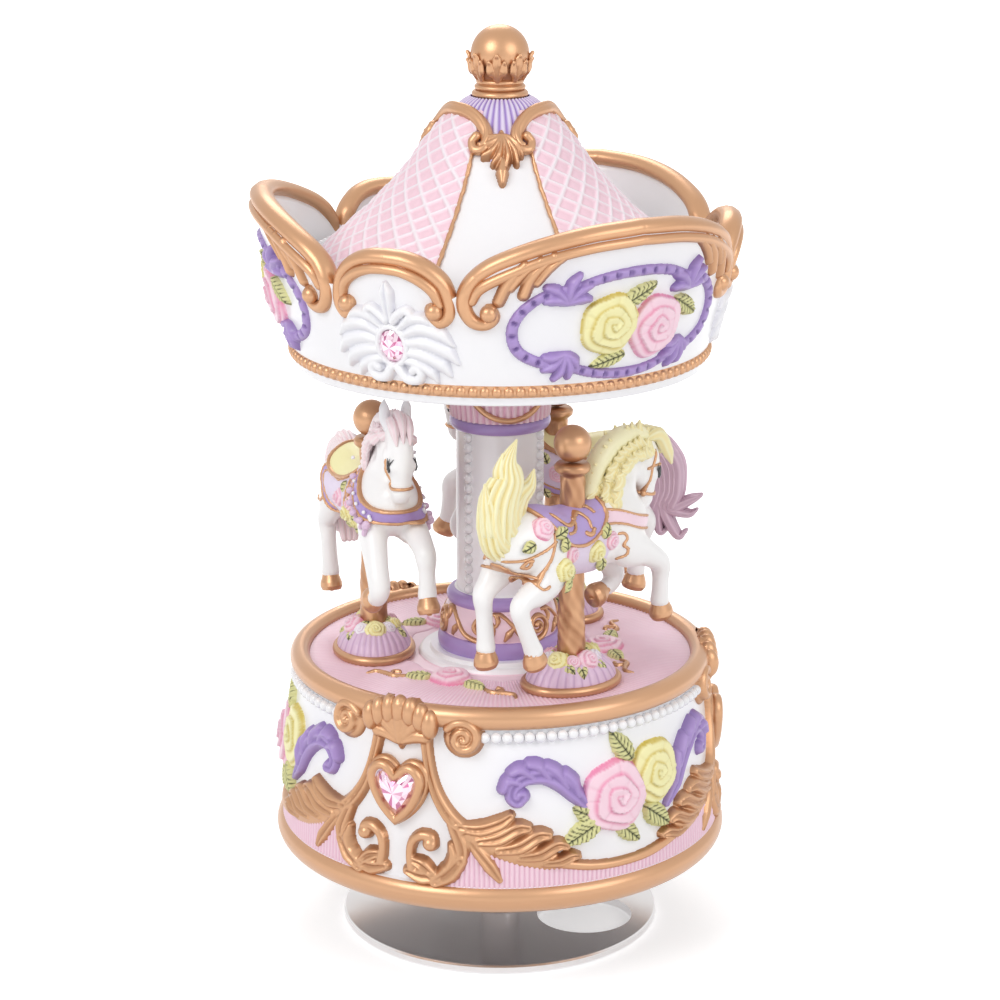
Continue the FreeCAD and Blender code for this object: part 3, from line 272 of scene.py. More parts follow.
def ball(centre, radii, rings=8, sides=12):
    """A squashed sphere."""
    theta = np.linspace(0, math.pi, rings + 1)[1:-1]
    phi = np.linspace(0, 2 * math.pi, sides, endpoint=False)
    radii = np.broadcast_to(radii, 3)
    rows = np.stack([np.outer(np.sin(theta), np.cos(phi)) * radii[0],
                     np.outer(np.sin(theta), np.sin(phi)) * radii[1],
                     np.outer(np.cos(theta), np.ones(sides)) * radii[2]], axis=-1).reshape(-1, 3)
    points = np.vstack([rows, [[0, 0, radii[2]], [0, 0, -radii[2]]]]) + centre
    last = (rings - 2) * sides
    k = np.arange(sides)
    top = np.stack([np.full(sides, len(rows)), k, (k + 1) % sides], axis=-1)
    bottom = np.stack([np.full(sides, len(rows) + 1), last + (k + 1) % sides, last + k], axis=-1)
    return points, [grid_faces(rings - 1, sides, wrap_rows=True), top, bottom]


class Relief:
    """Ornament raised from a surface: a grid of heights over (x, z), where x is often an azimuth.
    surface turns arrays (x, z, height) into points. scale is millimetres per unit of x."""

    def __init__(self, surface, x_range, z_range, scale=1.0, pitch=0.24, period=None):
        self.surface, self.scale, self.period = surface, scale, period
        count = round((x_range[1] - x_range[0]) * scale / pitch)
        self.step = (x_range[1] - x_range[0]) / count
        self.start = x_range[0]
        self.count = count if period else count + 1
        self.z = np.arange(z_range[0], z_range[1] + pitch, pitch)
        self.pitch = pitch
        self.height = np.full((self.count, len(self.z)), BURIED)
        # how far each cell takes its paint's second colour: painted shade, or an accent such as a vein
        self.painted_shade_and_accent = np.zeros_like(self.height)

    def grid(self):
        """The places of all cells."""
        return np.meshgrid(self.start + self.step * np.arange(self.count), self.z, indexing="ij")

    def window(self, points, margin):
        """The cells near some points, and their places in millimetres."""
        x, z = points[:, 0], points[:, 1]
        i0 = math.floor((x.min() - margin / self.scale - self.start) / self.step)
        i1 = math.ceil((x.max() + margin / self.scale - self.start) / self.step)
        if not self.period:
            i0, i1 = max(i0, 0), min(i1, self.count - 1)
        j0 = max(math.floor((z.min() - margin - self.z[0]) / self.pitch), 0)
        j1 = min(math.ceil((z.max() + margin - self.z[0]) / self.pitch), len(self.z) - 1)
        i, j = np.arange(i0, i1 + 1), np.arange(j0, j1 + 1)
        x, z = np.meshgrid((self.start + i * self.step) * self.scale, self.z[j], indexing="ij")
        return np.ix_(i % self.count, j), x, z

    def lay(self, cells, height, painted_shade_and_accent=0.0, over=False):
        """Keeps the higher of what is there and what is laid.
        over keeps what is laid wherever it is above the wall."""
        old = self.height[cells]
        taken = (height > 0) if over else (height > old)
        self.height[cells] = np.where(taken, height, old)
        self.painted_shade_and_accent[cells] = np.where(taken, painted_shade_and_accent, self.painted_shade_and_accent[cells])

    def stroke(self, points, half_width, height, flutes=0, notches=0.0):
        """A raised line with a rounded section, darkened at its foot with painted shade where it meets the
        wall.
        flutes are grooves along it, with painted shade in them, and notches the spacing of dimples darkened
        with painted shade."""
        line = smooth(points)
        width = along(half_width, len(line))
        cells, x, z = self.window(line, width.max() + 0.6)
        flat = line * [self.scale, 1.0]
        ahead = unit(np.gradient(flat, axis=0))
        dx, dz = x[..., None] - flat[:, 0], z[..., None] - flat[:, 1]
        nearest = (np.hypot(dx, dz) - width).argmin(-1)
        pick = np.take_along_axis
        dx = pick(dx, nearest[..., None], -1)[..., 0]
        dz = pick(dz, nearest[..., None], -1)[..., 0]
        away, width_here = np.hypot(dx, dz), width[nearest]
        share = away / width_here
        full = height * np.sqrt(width_here / width.max())
        top = full * np.clip(1 - share ** 2.4, 0, 1) ** 0.55
        if flutes:
            across = share * np.sign(ahead[nearest, 0] * dz - ahead[nearest, 1] * dx)
            groove = 0.5 + 0.5 * np.cos(math.pi * flutes * (across + 1))
            top = top * (1 - 0.36 * groove)
        # painted shade towards the line's foot, and below in its flutes and notches
        painted_shade_and_accent = 0.45 * np.clip((share - 0.75) / 0.25, 0, 1)
        if flutes:
            painted_shade_and_accent = np.maximum(painted_shade_and_accent, 0.55 * groove ** 2)
        if notches:
            length = np.concatenate([[0], np.cumsum(np.hypot(*np.diff(flat, axis=0).T))])[nearest]
            phase = (length / notches) % 1 - 0.5
            dimple = np.clip(1.6 - np.hypot(phase * notches / 0.40, share * width_here / 0.62), 0, 1)
            top = top - 0.6 * dimple
            painted_shade_and_accent = np.maximum(painted_shade_and_accent, dimple)
        self.lay(cells, np.where(share < 1, np.maximum(top, 0.01),
                                 np.maximum(-0.9 * (away - width_here), BURIED)), painted_shade_and_accent)

    def both(self, points, *form, about=0.0):
        """A stroke and its mirror image. The points' x is measured from about."""
        for side in (1, -1):
            self.stroke([(about + side * x, z) for x, z in points], *form)

    def fan(self, x, z, angles, lengths, half_width, height, curl):
        """Tapered lobes that spread from one point, as in a palmette. curl bends their tips."""
        for angle, length in zip(angles, lengths):
            points = []
            for share in (0.0, 0.35, 0.7, 1.0):
                a = math.radians(angle + curl * share * share * (1 if angle > 90 else -1))
                points.append((x + length * share * math.cos(a) / self.scale,
                               z + length * share * math.sin(a)))
            self.stroke(points, [half_width * share for share in (0.35, 0.8, 1.0, 0.6)], height, 1)

    def rose(self, x, z, radius, height, turn=0.0):
        """A full-blown rose: petals wound about the middle, each with a raised lip and a painted shadow
        outside it, and painted shade along the seams between petals and round the rim.
        """
        cells, gx, gz = self.window(np.array([(x, z)]), radius * 1.06 + 0.6)
        dx, dz = gx - x * self.scale, gz - z
        angle = np.arctan2(dz, dx) + math.radians(turn)
        share = np.hypot(dx, dz) / (radius * (1 + 0.035 * np.cos(5 * angle)))
        winding = 3.5 * share ** 0.8 + 0.09 * np.cos(3 * angle + 7 * share) - angle / (2 * math.pi)
        rise = winding % 1
        ends = np.abs(np.cos(2.5 * angle + 2.1 * np.floor(winding)))
        seam = np.clip(1 - ends / 0.22, 0, 1) * (share > 0.35)
        top = height * (1.02 - 0.58 * share ** 2) - 0.20 * height * (1 - rise ** 1.4) - 0.05 * height * seam
        top = top * np.clip((1 - share) / 0.07, 0, 1) ** 0.5
        # painted shadow just outside each lip, painted shade in the seams and at the rim
        shadow = np.clip(1 - rise / 0.34, 0, 1) ** 0.8
        painted_shade_and_accent = np.clip(0.85 * shadow + 0.15 * seam + np.clip((share - 0.93) / 0.07, 0, 1), 0, 1)
        under = np.maximum(-0.9 * (share - 1) * radius, BURIED)
        self.lay(cells, np.where(share < 1, np.maximum(top, 0.02), under), painted_shade_and_accent, over=True)

    def leaf(self, base, tip, half_width, height):
        """A toothed leaf with dark veins, from base to tip."""
        start = np.array(base) * [self.scale, 1]
        end = np.array(tip) * [self.scale, 1]
        length = np.hypot(*(end - start))
        ahead = (end - start) / length
        cells, x, z = self.window(np.array([base, tip], float), half_width + 0.5)
        along_leaf = ((x - start[0]) * ahead[0] + (z - start[1]) * ahead[1]) / length
        across = (x - start[0]) * -ahead[1] + (z - start[1]) * ahead[0]
        inside = np.clip(along_leaf, 0, 1)
        teeth = 1 - 0.16 * ((inside * 6) % 1)
        outline = half_width * np.sin(math.pi * inside ** 0.8) ** 0.75 * teeth
        margin = np.minimum(outline - np.abs(across), np.minimum(along_leaf, 1 - along_leaf) * length)
        vein = (along_leaf * length - np.abs(across) * 0.9) / 1.15
        veins = np.clip(1.35 - np.abs((vein % 1) - 0.5) / 0.13, 0, 1) * (np.abs(across) < outline * 0.92)
        dark = np.maximum(np.clip(1.5 - np.abs(across) / 0.16, 0, 1), veins)
        top = height * np.clip(margin / 0.5, 0, 1) ** 0.5 * (1 - 0.22 * dark)
        top = top + 0.18 * np.abs(across) * (margin > 0)
        self.lay(cells, np.where(margin > 0, top, np.maximum(margin, BURIED)), dark)

    def soup(self):
        """The raised parts as a mesh, all the way round if the grid has a period."""
        copies = FOLD if self.period else 1
        height, painted_shade_and_accent = np.tile(self.height, (copies, 1)), np.tile(self.painted_shade_and_accent, (copies, 1))
        columns, rows = height.shape
        x, z = np.meshgrid(self.start + self.step * np.arange(columns), self.z, indexing="ij")
        faces = grid_faces(columns, rows, wrap_columns=bool(self.period))
        faces = faces[(height.ravel()[faces] > 0).any(axis=1)]
        points, above = (self.surface(x, z, height + rise).reshape(-1, 3) for rise in (0, 1))
        a, b, c, _ = faces[0]
        if np.cross(points[b] - points[a], points[c] - points[a]) @ (above[a] - points[a]) < 0:
            faces = faces[:, ::-1]
        used, faces = np.unique(faces, return_inverse=True)
        points = points[used]
        return Soup().add(points, faces.reshape(-1, 4), painted_shade_and_accent.ravel()[used])

    def build(self, name, look):
        self.soup().build(name, look)


# ---------------------------------------------------------------- paint
PAINTS = {
    # colour, second colour for painted shade in its hollows and for accents such as veins, roughness,
    # metallic, coat, slot
    "horse_white": ((0.94, 0.93, 0.925), (0.70, 0.60, 0.56), 0.34, 0.0, 0.25, "white_resin"),
    "white": ((0.93, 0.925, 0.945), (0.66, 0.66, 0.76), 0.30, 0.0, 0.35, "white_resin"),
    "gold": ((0.60, 0.34, 0.19), (0.28, 0.12, 0.055), 0.36, 0.75, 0.05, "gold_paint"),
    "pink": ((0.93, 0.70, 0.79), (0.80, 0.42, 0.58), 0.38, 0.0, 0.15, "pink_resin"),
    "rose": ((0.96, 0.70, 0.79), (0.84, 0.26, 0.44), 0.42, 0.0, 0.10, "pink_resin"),
    "yellow": ((0.94, 0.89, 0.48), (0.66, 0.50, 0.08), 0.42, 0.0, 0.10, "pink_resin"),
    "violet": ((0.42, 0.29, 0.62), (0.16, 0.09, 0.30), 0.38, 0.0, 0.15, "violet_resin"),
    "mauve": ((0.76, 0.56, 0.73), (0.40, 0.20, 0.42), 0.42, 0.0, 0.10, "violet_resin"),
    "leaf": ((0.74, 0.72, 0.34), (0.02, 0.025, 0.005), 0.50, 0.0, 0.0, "gold_paint"),
    "pearl": ((0.92, 0.92, 0.94), (0.6, 0.6, 0.7), 0.18, 0.0, 0.6, "white_resin"),
    "black": ((0.015, 0.013, 0.015), (0.0, 0.0, 0.0), 0.25, 0.0, 0.5, "white_resin"),
    "quilt": ((0.92, 0.64, 0.73), (0.93, 0.86, 0.91), 0.38, 0.0, 0.15, "pink_resin"),
    "violet_pale": ((0.78, 0.70, 0.88), (0.34, 0.22, 0.58), 0.40, 0.0, 0.10, "violet_resin"),
    "violet_cloth": ((0.48, 0.36, 0.68), (0.22, 0.12, 0.40), 0.45, 0.0, 0.05, "violet_resin"),
    "lilac": ((0.80, 0.70, 0.86), (0.55, 0.40, 0.66), 0.45, 0.0, 0.05, "violet_resin"),
    "yellow_hair": ((0.95, 0.91, 0.60), (0.84, 0.64, 0.18), 0.42, 0.0, 0.10, "pink_resin"),
    "pink_hair": ((0.96, 0.86, 0.87), (0.86, 0.56, 0.62), 0.42, 0.0, 0.10, "pink_resin"),
    "mauve_hair": ((0.74, 0.54, 0.64), (0.42, 0.24, 0.34), 0.42, 0.0, 0.10, "pink_resin"),
    "petal": ((0.93, 0.90, 0.95), (0.72, 0.52, 0.68), 0.42, 0.0, 0.10, "white_resin"),
}


def add_node(owner, kind, **inputs):
    """A node in a material or a world, with its settings or its inputs' values."""
    node = owner.node_tree.nodes.new(kind)
    for key, value in inputs.items():
        if hasattr(node, key):
            setattr(node, key, value)
        else:
            node.inputs[key].default_value = value
    return node


def link(owner, source, target):
    owner.node_tree.links.new(source, target)


def ranged(owner, source, low, high, source_low=0.0, source_high=1.0):
    """A socket with the source's value carried from its range to another."""
    node = add_node(owner, "ShaderNodeMapRange",
                    **{"From Min": source_low, "From Max": source_high, "To Min": low, "To Max": high})
    link(owner, source, node.inputs["Value"])
    return node.outputs["Result"]


def set_inputs(surface, **values):
    """Values of a shader's inputs, whose names are written with _ for each space."""
    for name, value in values.items():
        surface.inputs[name.replace("_", " ")].default_value = value


def new_material(name):
    material = bpy.data.materials.new(name)
    material.use_nodes = True
    return material, material.node_tree.nodes["Principled BSDF"]


def mixed(material, factor, first, second):
    """A colour mix. first and second are colours or sockets."""
    mix = add_node(material, "ShaderNodeMix", data_type="RGBA")
    link(material, factor, mix.inputs["Factor"])
    sockets = [s for s in mix.inputs if s.type == "RGBA"]
    for value, socket in zip((first, second), sockets):
        if isinstance(value, tuple):
            socket.default_value = (*value, 1)
        else:
            link(material, value, socket)
    return [s for s in mix.outputs if s.type == "RGBA"][0]


def grain(material, surface, size=1.4, depth=0.06, amount=0.05):
    """Roughens a surface with brush marks: the nodes for the place on the object and for the noise."""
    place = add_node(material, "ShaderNodeTexCoord")
    noise = add_node(material, "ShaderNodeTexNoise", Scale=1 / (size * MM), Detail=3.0)
    link(material, place.outputs["Object"], noise.inputs["Vector"])
    bump = add_node(material, "ShaderNodeBump", Strength=amount, Distance=depth * MM)
    link(material, noise.outputs["Fac"], bump.inputs["Height"])
    link(material, bump.outputs["Normal"], surface.inputs["Normal"])
    return place, noise


def paint(key):
    """A brushed-on paint, mixed towards its second colour for painted shade in its hollows and for accents
    such as veins.
    """
    colour, painted_shade_and_accent, roughness, metallic, coat, _ = PAINTS[key]
    material, surface = new_material("paint_" + key)
    _, noise = grain(material, surface)
    patches = ranged(material, noise.outputs["Fac"], 0.0, 0.22)
    uneven = mixed(material, patches, colour, tuple(0.75 * c + 0.25 * w for c, w in zip(colour, painted_shade_and_accent)))
    # the attribute mixes in the second colour: painted shade in hollows, grooves and folds, and accents such
    # as veins and the quilt's ridges
    hollow = add_node(material, "ShaderNodeAttribute", attribute_name="painted_shade_and_accent")
    link(material, mixed(material, hollow.outputs["Fac"], uneven, painted_shade_and_accent), surface.inputs["Base Color"])
    set_inputs(surface, Roughness=roughness, Metallic=metallic, Coat_Weight=coat, Coat_Roughness=0.15)
    return material


def banded(name, bands):
    """Paints that follow each other upwards: (height where it starts, paint)."""
    material, surface = new_material(name)
    place, _ = grain(material, surface)
    low, high = bands[0][0], bands[-1][0] + 1.0
    split = add_node(material, "ShaderNodeSeparateXYZ")
    link(material, place.outputs["Object"], split.inputs["Vector"])
    rise = ranged(material, split.outputs["Z"], 0.0, 1.0, low * MM, high * MM)
    ramps = []
    for part in ("colour", "finish"):
        ramp = add_node(material, "ShaderNodeValToRGB")
        ramp.color_ramp.interpolation = "CONSTANT"
        link(material, rise, ramp.inputs["Fac"])
        stops = ramp.color_ramp.elements
        for k, (start, key) in enumerate(bands):
            stop = stops[0] if k == 0 else stops.new((start - low) / (high - low))
            colour, _, roughness, metallic, *_ = PAINTS[key]
            stop.color = (*colour, 1) if part == "colour" else (metallic, roughness, 0, 1)
        stops.remove(stops[-1])
        ramps.append(ramp)
    link(material, ramps[0].outputs["Color"], surface.inputs["Base Color"])
    finish = add_node(material, "ShaderNodeSeparateColor")
    link(material, ramps[1].outputs["Color"], finish.inputs["Color"])
    link(material, finish.outputs["Red"], surface.inputs["Metallic"])
    link(material, finish.outputs["Green"], surface.inputs["Roughness"])
    set_inputs(surface, Coat_Weight=0.25)
    return material


def plain(name, colour, roughness, metallic=0.0, size=1.0, amount=0.05):
    """A metal or plastic with a fine uneven surface."""
    material, surface = new_material(name)
    _, noise = grain(material, surface, size=size, amount=amount)
    link(material, ranged(material, noise.outputs["Fac"], roughness * 0.8, roughness * 1.2),
         surface.inputs["Roughness"])
    set_inputs(surface, Base_Color=(*colour, 1), Metallic=metallic)
    return material


def coat_nodes(material, *nodes):
    """Gives every slot of some CAD nodes a material."""
    for node in nodes:
        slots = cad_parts[node].data.materials
        if not len(slots):
            slots.append(material)
        for k in range(len(slots)):
            slots[k] = material


PAINT = {key: paint(key) for key in PAINTS}


# ---------------------------------------------------------------- plain nodes
def finish_plain_nodes():
    """The materials of the CAD nodes that are shown as they are."""
    chrome = plain("chrome", (0.78, 0.76, 0.76), 0.20, 1.0, size=6.0, amount=0.01)
    steel = plain("steel", (0.55, 0.55, 0.56), 0.30, 1.0)
    brass = plain("brass", (0.78, 0.60, 0.30), 0.28, 1.0)
    zinc = plain("zinc", (0.50, 0.50, 0.50), 0.50, 0.8)
    plastic = plain("dark_plastic", (0.36, 0.33, 0.33), 0.45, 0.0)
    coat_nodes(chrome, "turntable_disc", "spindle_hub")
    coat_nodes(steel, "disc_screw", "winding_shaft", "gear_clip", "cover_screws", "movement_screws",
               "spring_barrel", "barrel_lid", "mainspring", "comb", "comb_screws", "bracket_screw",
               "cylinder_arbor", "wheel_pinion", "wheel_arbor", "worm_shaft")
    coat_nodes(brass, "drive_gear", "governor_bracket", "pin_cylinder", "drive_pinion", "cylinder_gear",
               "worm_wheel", "air_brake")
    coat_nodes(zinc, "movement_frame")
    coat_nodes(plastic, "bottom_cover")
    coat_nodes(PAINT["white"], "canopy_ceiling", "canopy_roof")
    coat_nodes(PAINT["violet"], "roof_collar")
    coat_nodes(PAINT["gold"], "finial_cap")
    coat_nodes(banded("drum_paint", [(DRUM_FOOT - 1, "gold"), (FOOT_BAND, "white"), (DECK - 2.3, "gold")]),
               "base_drum")
    coat_nodes(banded("deck_paint", [(DECK - 5, "pink"), (DECK + 0.2, "white")]), "deck")
    foot = COLUMN_FOOT
    coat_nodes(banded("column_paint", [(foot - 1, "violet"), (foot + 3.3, "pink"), (foot + 9.8, "violet"),
                                       (foot + 12.4, "white"), (foot + 47.0, "violet"),
                                       (foot + 49.6, "pink")]),
               "center_column")


# ---------------------------------------------------------------- drum
VOLUTE_HEIGHT = 55.1                      # the volutes under the rim, and the pearls between them


def bouquet(canvas, wall, leaves, pink, yellow):
    """Leaves, a pink rose and a yellow rose on a wall. canvas makes a blank relief."""
    green = canvas()
    for leaf in leaves:
        green.leaf(*leaf)
    green.build(wall + "_leaves", "leaf")
    for name, rose, key in (("pink", pink, "rose"), ("yellow", yellow, "yellow")):
        flower = canvas()
        flower.rose(*rose)
        flower.build(f"{wall}_{name}_roses", key)


def drum_reliefs():
    """Gold scrolls about each heart, violet scrolls and roses between them, and pink pleats under a swag."""
    scale = math.radians(44.0)
    canvas = partial(Relief, turned_wall(drum_radius), PANEL, (FOOT_BAND - 1.0, DECK + 3.0), scale,
                     period=True)
    h = HEART_PANELS
    gold = canvas()
    both = partial(gold.both, about=h)

    # the volutes under the rim, and the bands that fall from them past the heart
    for side in (1, -1):
        gold.stroke([(h + side * 17.4, VOLUTE_HEIGHT), (h + side * 17.5, VOLUTE_HEIGHT)], 4.3, 1.5)
        turn = spiral(h + side * 17.4, VOLUTE_HEIGHT, 3.7, 0.4, 90 + side * 60, -side * 640, scale, steps=20)
        gold.stroke(turn, [1.15, 1.2, 1.1, 1.0, 0.9], 2.6)
    both([(16.5, 59.2), (11.5, 59.3), (7.8, 58.2), (7.1, 54.5), (7.6, 51.0), (8.9, 46.6), (10.9, 42.6),
          (14.1, 38.9), (17.6, 36.6)], [1.2, 1.5, 1.6, 1.4, 1.3, 1.3, 1.5, 1.7, 1.6], 1.8, 2)
    both([(13.4, 39.6), (15.6, 36.2), (17.4, 32.6), (17.4, 29.8)], [1.0, 1.5, 1.8, 1.3], 1.9, 2)
    # the acanthus leaf that each band opens into
    both([(17.0, 36.4), (21.0, 34.8), (27.0, 33.0), (33.0, 31.4), (39.0, 29.8), (44.5, 28.4)],
         [1.6, 2.1, 2.8, 2.9, 2.3, 1.0], 1.3)
    for start, middle, bend, tip, w in (((38.0, 29.4), (42.0, 29.6), (45.0, 30.4), (47.0, 30.2), 1.3),
                                        ((32.0, 30.9), (37.0, 31.4), (41.2, 33.0), (43.8, 32.6), 1.7),
                                        ((26.5, 32.4), (31.8, 33.2), (36.4, 35.2), (39.2, 35.2), 1.9),
                                        ((21.5, 34.2), (26.6, 35.0), (31.2, 36.9), (34.0, 36.9), 1.9),
                                        ((16.4, 37.0), (22.0, 36.8), (26.8, 38.0), (29.6, 39.4), 1.8)):
        both([start, middle, bend, tip], [w * 0.6, w, w * 0.95, w * 0.6], 2.3, 2)
    both([(18.6, 35.0), (21.4, 32.2), (24.6, 28.9), (26.9, 26.2)], [0.6, 1.5, 1.7, 0.9], 1.9, 2)
    # the pair of C-scrolls under the heart, with a leaf at each foot
    both([(17.2, 30.0), (14.2, 27.2), (10.8, 25.2)], [1.7, 2.5, 1.7], 2.2, 2)
    both([(11.2, 26.2), (7.2, 26.0), (3.2, 26.6)], [1.6, 2.2, 1.2], 2.0, 2)
    both([(10.4, 26.4), (7.4, 28.4), (4.2, 29.2)], [1.2, 1.7, 1.0], 2.2, 2)
    both([(13.2, 27.6), (15.2, 30.4), (14.6, 33.0)], [1.2, 1.5, 0.8], 2.0, 1)
    both([(4.4, 27.4), (3.9, 30.4), (4.6, 33.0), (6.9, 34.5), (9.4, 34.3), (10.0, 32.8)],
         [1.1, 0.95, 1.05, 1.2, 1.2, 1.1], 1.8)
    both([(9.2, 33.0), (9.4, 32.9)], 1.6, 2.2)
    # the palmette over the heart
    gold.stroke([(h, 51.6), (h, 55.0), (h, 59.0)], [0.5, 2.4, 2.6], 1.6)
    both([(0.8, 53.0), (4.6, 54.4), (6.8, 54.6)], [0.9, 1.6, 1.7], 2.3)
    both([(0.6, 53.6), (4.0, 56.6), (6.2, 57.8)], [0.9, 1.8, 2.0], 2.8)
    gold.stroke([(h, 53.0), (h, 57.0), (h, 60.4)], [0.9, 1.9, 2.4], 3.2)
    both([(0.4, 53.4), (2.4, 57.4), (3.6, 60.0)], [0.8, 1.7, 2.0], 3.0)
    # the swag from heart to heart
    gold.stroke([(-24, 30.2), (-15.5, 28.5), (-8, 27.4), (0, 27.1), (8, 27.4), (15.5, 28.5), (24, 30.2)],
                [1.2, 1.1, 1.05, 1.0, 1.05, 1.1, 1.2], 1.3)
    gold.build("drum_gold_relief", "gold")

    # the reverse of the palmette, where it stands over the rim
    backs = Soup()
    for u in (-6.6, -4.6, -2.3, 0.0, 2.3, 4.6, 6.6):
        backs.add(*ball((u, -43.5, 59.6 - 0.05 * u * u), (1.8, 2.1, 3.1), rings=12, sides=20))
    backs.moved(lambda points: spun(points, h)).thrice().build("drum_palmette_backs", "gold")

    violet = canvas()
    stems = (([(-10.8, 40.6), (-13.6, 43.2), (-17.4, 46.0), (-21.8, 47.4), (-26.4, 46.9), (-29.4, 45.2),
               (-30.0, 43.2), (-28.6, 42.2), (-27.4, 43.2)], [1.3, 2.0, 2.3, 2.1, 1.7, 1.5, 1.4, 1.5, 1.7]),
             ([(15.6, 36.0), (20.0, 39.6), (22.8, 43.2), (26.6, 46.4), (31.2, 48.2), (35.4, 47.6),
               (37.6, 45.4), (36.8, 43.4), (35.2, 43.2)], [0.8, 1.7, 2.0, 2.2, 2.0, 1.6, 1.4, 1.4, 1.6]))
    for points, half_width in stems:
        violet.stroke(points, half_width, 1.9, 2)
    lobes = ([(-12.4, 42.6), (-13.8, 45.6), (-15.8, 47.4)], [(-15.6, 44.6), (-18.2, 47.8), (-20.6, 49.2)],
             [(-20.0, 46.4), (-22.8, 49.2), (-25.4, 49.8)], [(-24.4, 47.0), (-27.6, 48.8), (-30.0, 48.2)],
             [(-28.2, 46.0), (-30.8, 46.6), (-32.2, 44.8)], [(19.4, 39.8), (19.8, 43.0), (21.0, 45.6)],
             [(22.0, 42.8), (23.0, 46.0), (25.0, 48.2)], [(26.0, 46.0), (27.8, 48.6), (30.4, 50.2)],
             [(30.6, 48.0), (33.4, 50.0), (36.0, 49.6)], [(34.8, 47.4), (37.6, 48.0), (39.2, 46.0)])
    for points in lobes:
        violet.stroke(points, [0.8, 1.6, 1.3], 2.2, 1)
    violet.build("drum_violet_relief", "violet")

    bouquet(canvas, "drum",
            [((4.0, 47.6), (-2.2, 54.2), 2.3, 1.3), ((-6.0, 37.2), (-17.0, 32.6), 2.4, 1.4),
             ((-6.0, 36.6), (-14.0, 40.0), 2.2, 1.3), ((-1.5, 35.6), (5.2, 30.6), 2.0, 1.2),
             ((7.5, 37.2), (15.8, 32.0), 2.5, 1.4)],
            pink=(-1.6, 41.2, 7.5, 3.3), yellow=(12.0, 43.9, 6.7, 2.6, 20))

    pleats = canvas()
    a, z = pleats.grid()
    from_heart = THIRD / 2 - np.abs(a)
    ceiling = np.interp(from_heart, [12.4, 14, 17.5, 20, 26, 36, 45, 60],
                        [22, 25, 29, 32.5, 31.5, 29.0, 28.0, 27.0])
    pleat = 0.55 + 0.35 * np.abs(np.cos(math.pi * (a + 60) / 1.25))
    # painted shade in the folds between the pleats
    pleats.lay(EVERYWHERE, np.where(z < ceiling, pleat, BURIED), 0.7 - 1.9 * (pleat - 0.55))
    pleats.build("drum_pink_pleats", "pink")


def drum_pearls():
    """Pearls under the rim, from volute to volute."""
    string = Soup()
    for azimuth in np.linspace(-37.0, 37.0, 26):
        string.add(*ball(on_axis(azimuth, 43.0, VOLUTE_HEIGHT), 1.12))
    string.thrice().build("drum_pearls", "pearl")


# ---------------------------------------------------------------- gems
def heart_outline(width, count):
    """Points of a heart about (0, 0), from its tip round through the right side."""
    h = width / 2
    half = smooth([(0.0, -1.15 * h), (0.62 * h, -0.5 * h), (h, 0.36 * h), (0.86 * h, 0.86 * h),
                   (0.45 * h, 0.98 * h), (0.0, 0.55 * h)])
    share = np.linspace(0, len(half) - 1, count // 2 + 1)
    half = np.stack([np.interp(share, np.arange(len(half)), half[:, k]) for k in range(2)], axis=-1)
    return np.vstack([half, half[-2:0:-1] * [-1, 1]])


def oval_outline(width, count):
    angle = np.linspace(0, 2 * math.pi, count, endpoint=False) - math.pi / 2
    return np.stack([width / 2 * np.cos(angle), 0.65 * width * np.sin(angle)], axis=-1)


def cut_stone(outline, width, depth, count, seat):
    """A cut stone: every facet is a piece of its own, so that it stays flat and has its own painted light,
    pale on most facets and deep on a few.
    seat turns (u, v, height) into a point."""
    rings = [(1.0, 0.0), (1.0, 0.42 * depth), (0.80, 0.74 * depth), (0.56, depth)]
    points = []
    for k, (share, height) in enumerate(rings):
        ring = outline(width, count) * share
        if k == 2:
            ring = (ring + np.roll(ring, -1, 0)) / 2
        points.append([seat(u, v, height) for u, v in ring])
    facets = []
    for k in range(3):
        for i in range(count):
            j = (i + 1) % count
            a, b, c, d = points[k][i], points[k][j], points[k + 1][j], points[k + 1][i]
            facets += [(a, b, d), (b, c, d)] if k != 2 else [(a, b, c), (a, c, d)]
    middle = seat(0, 0, depth)
    facets += [(points[3][i], points[3][(i + 1) % count], middle) for i in range(count)]
    # painted light: a fixed tone for each facet, mostly pale and deep on a few, in place of the light each
    # facet would catch
    painted_facet_light = [(0.5 + 0.5 * math.sin(12.9 * k + 4.1 * (k % 7))) ** 4 for k in range(len(facets))]
    return np.array(facets).reshape(-1, 3), np.arange(3 * len(facets)).reshape(-1, 3), np.repeat(painted_facet_light, 3)


def bezel(outline, height, seat, half_width, half_depth):
    """A closed bead round a stone in a heart panel."""
    line = np.array([seat(u, v, height) for u, v in outline])
    return sweep(spun(line, HEART_PANELS), half_width, half_depth, outward(HEART_PANELS), closed=True)


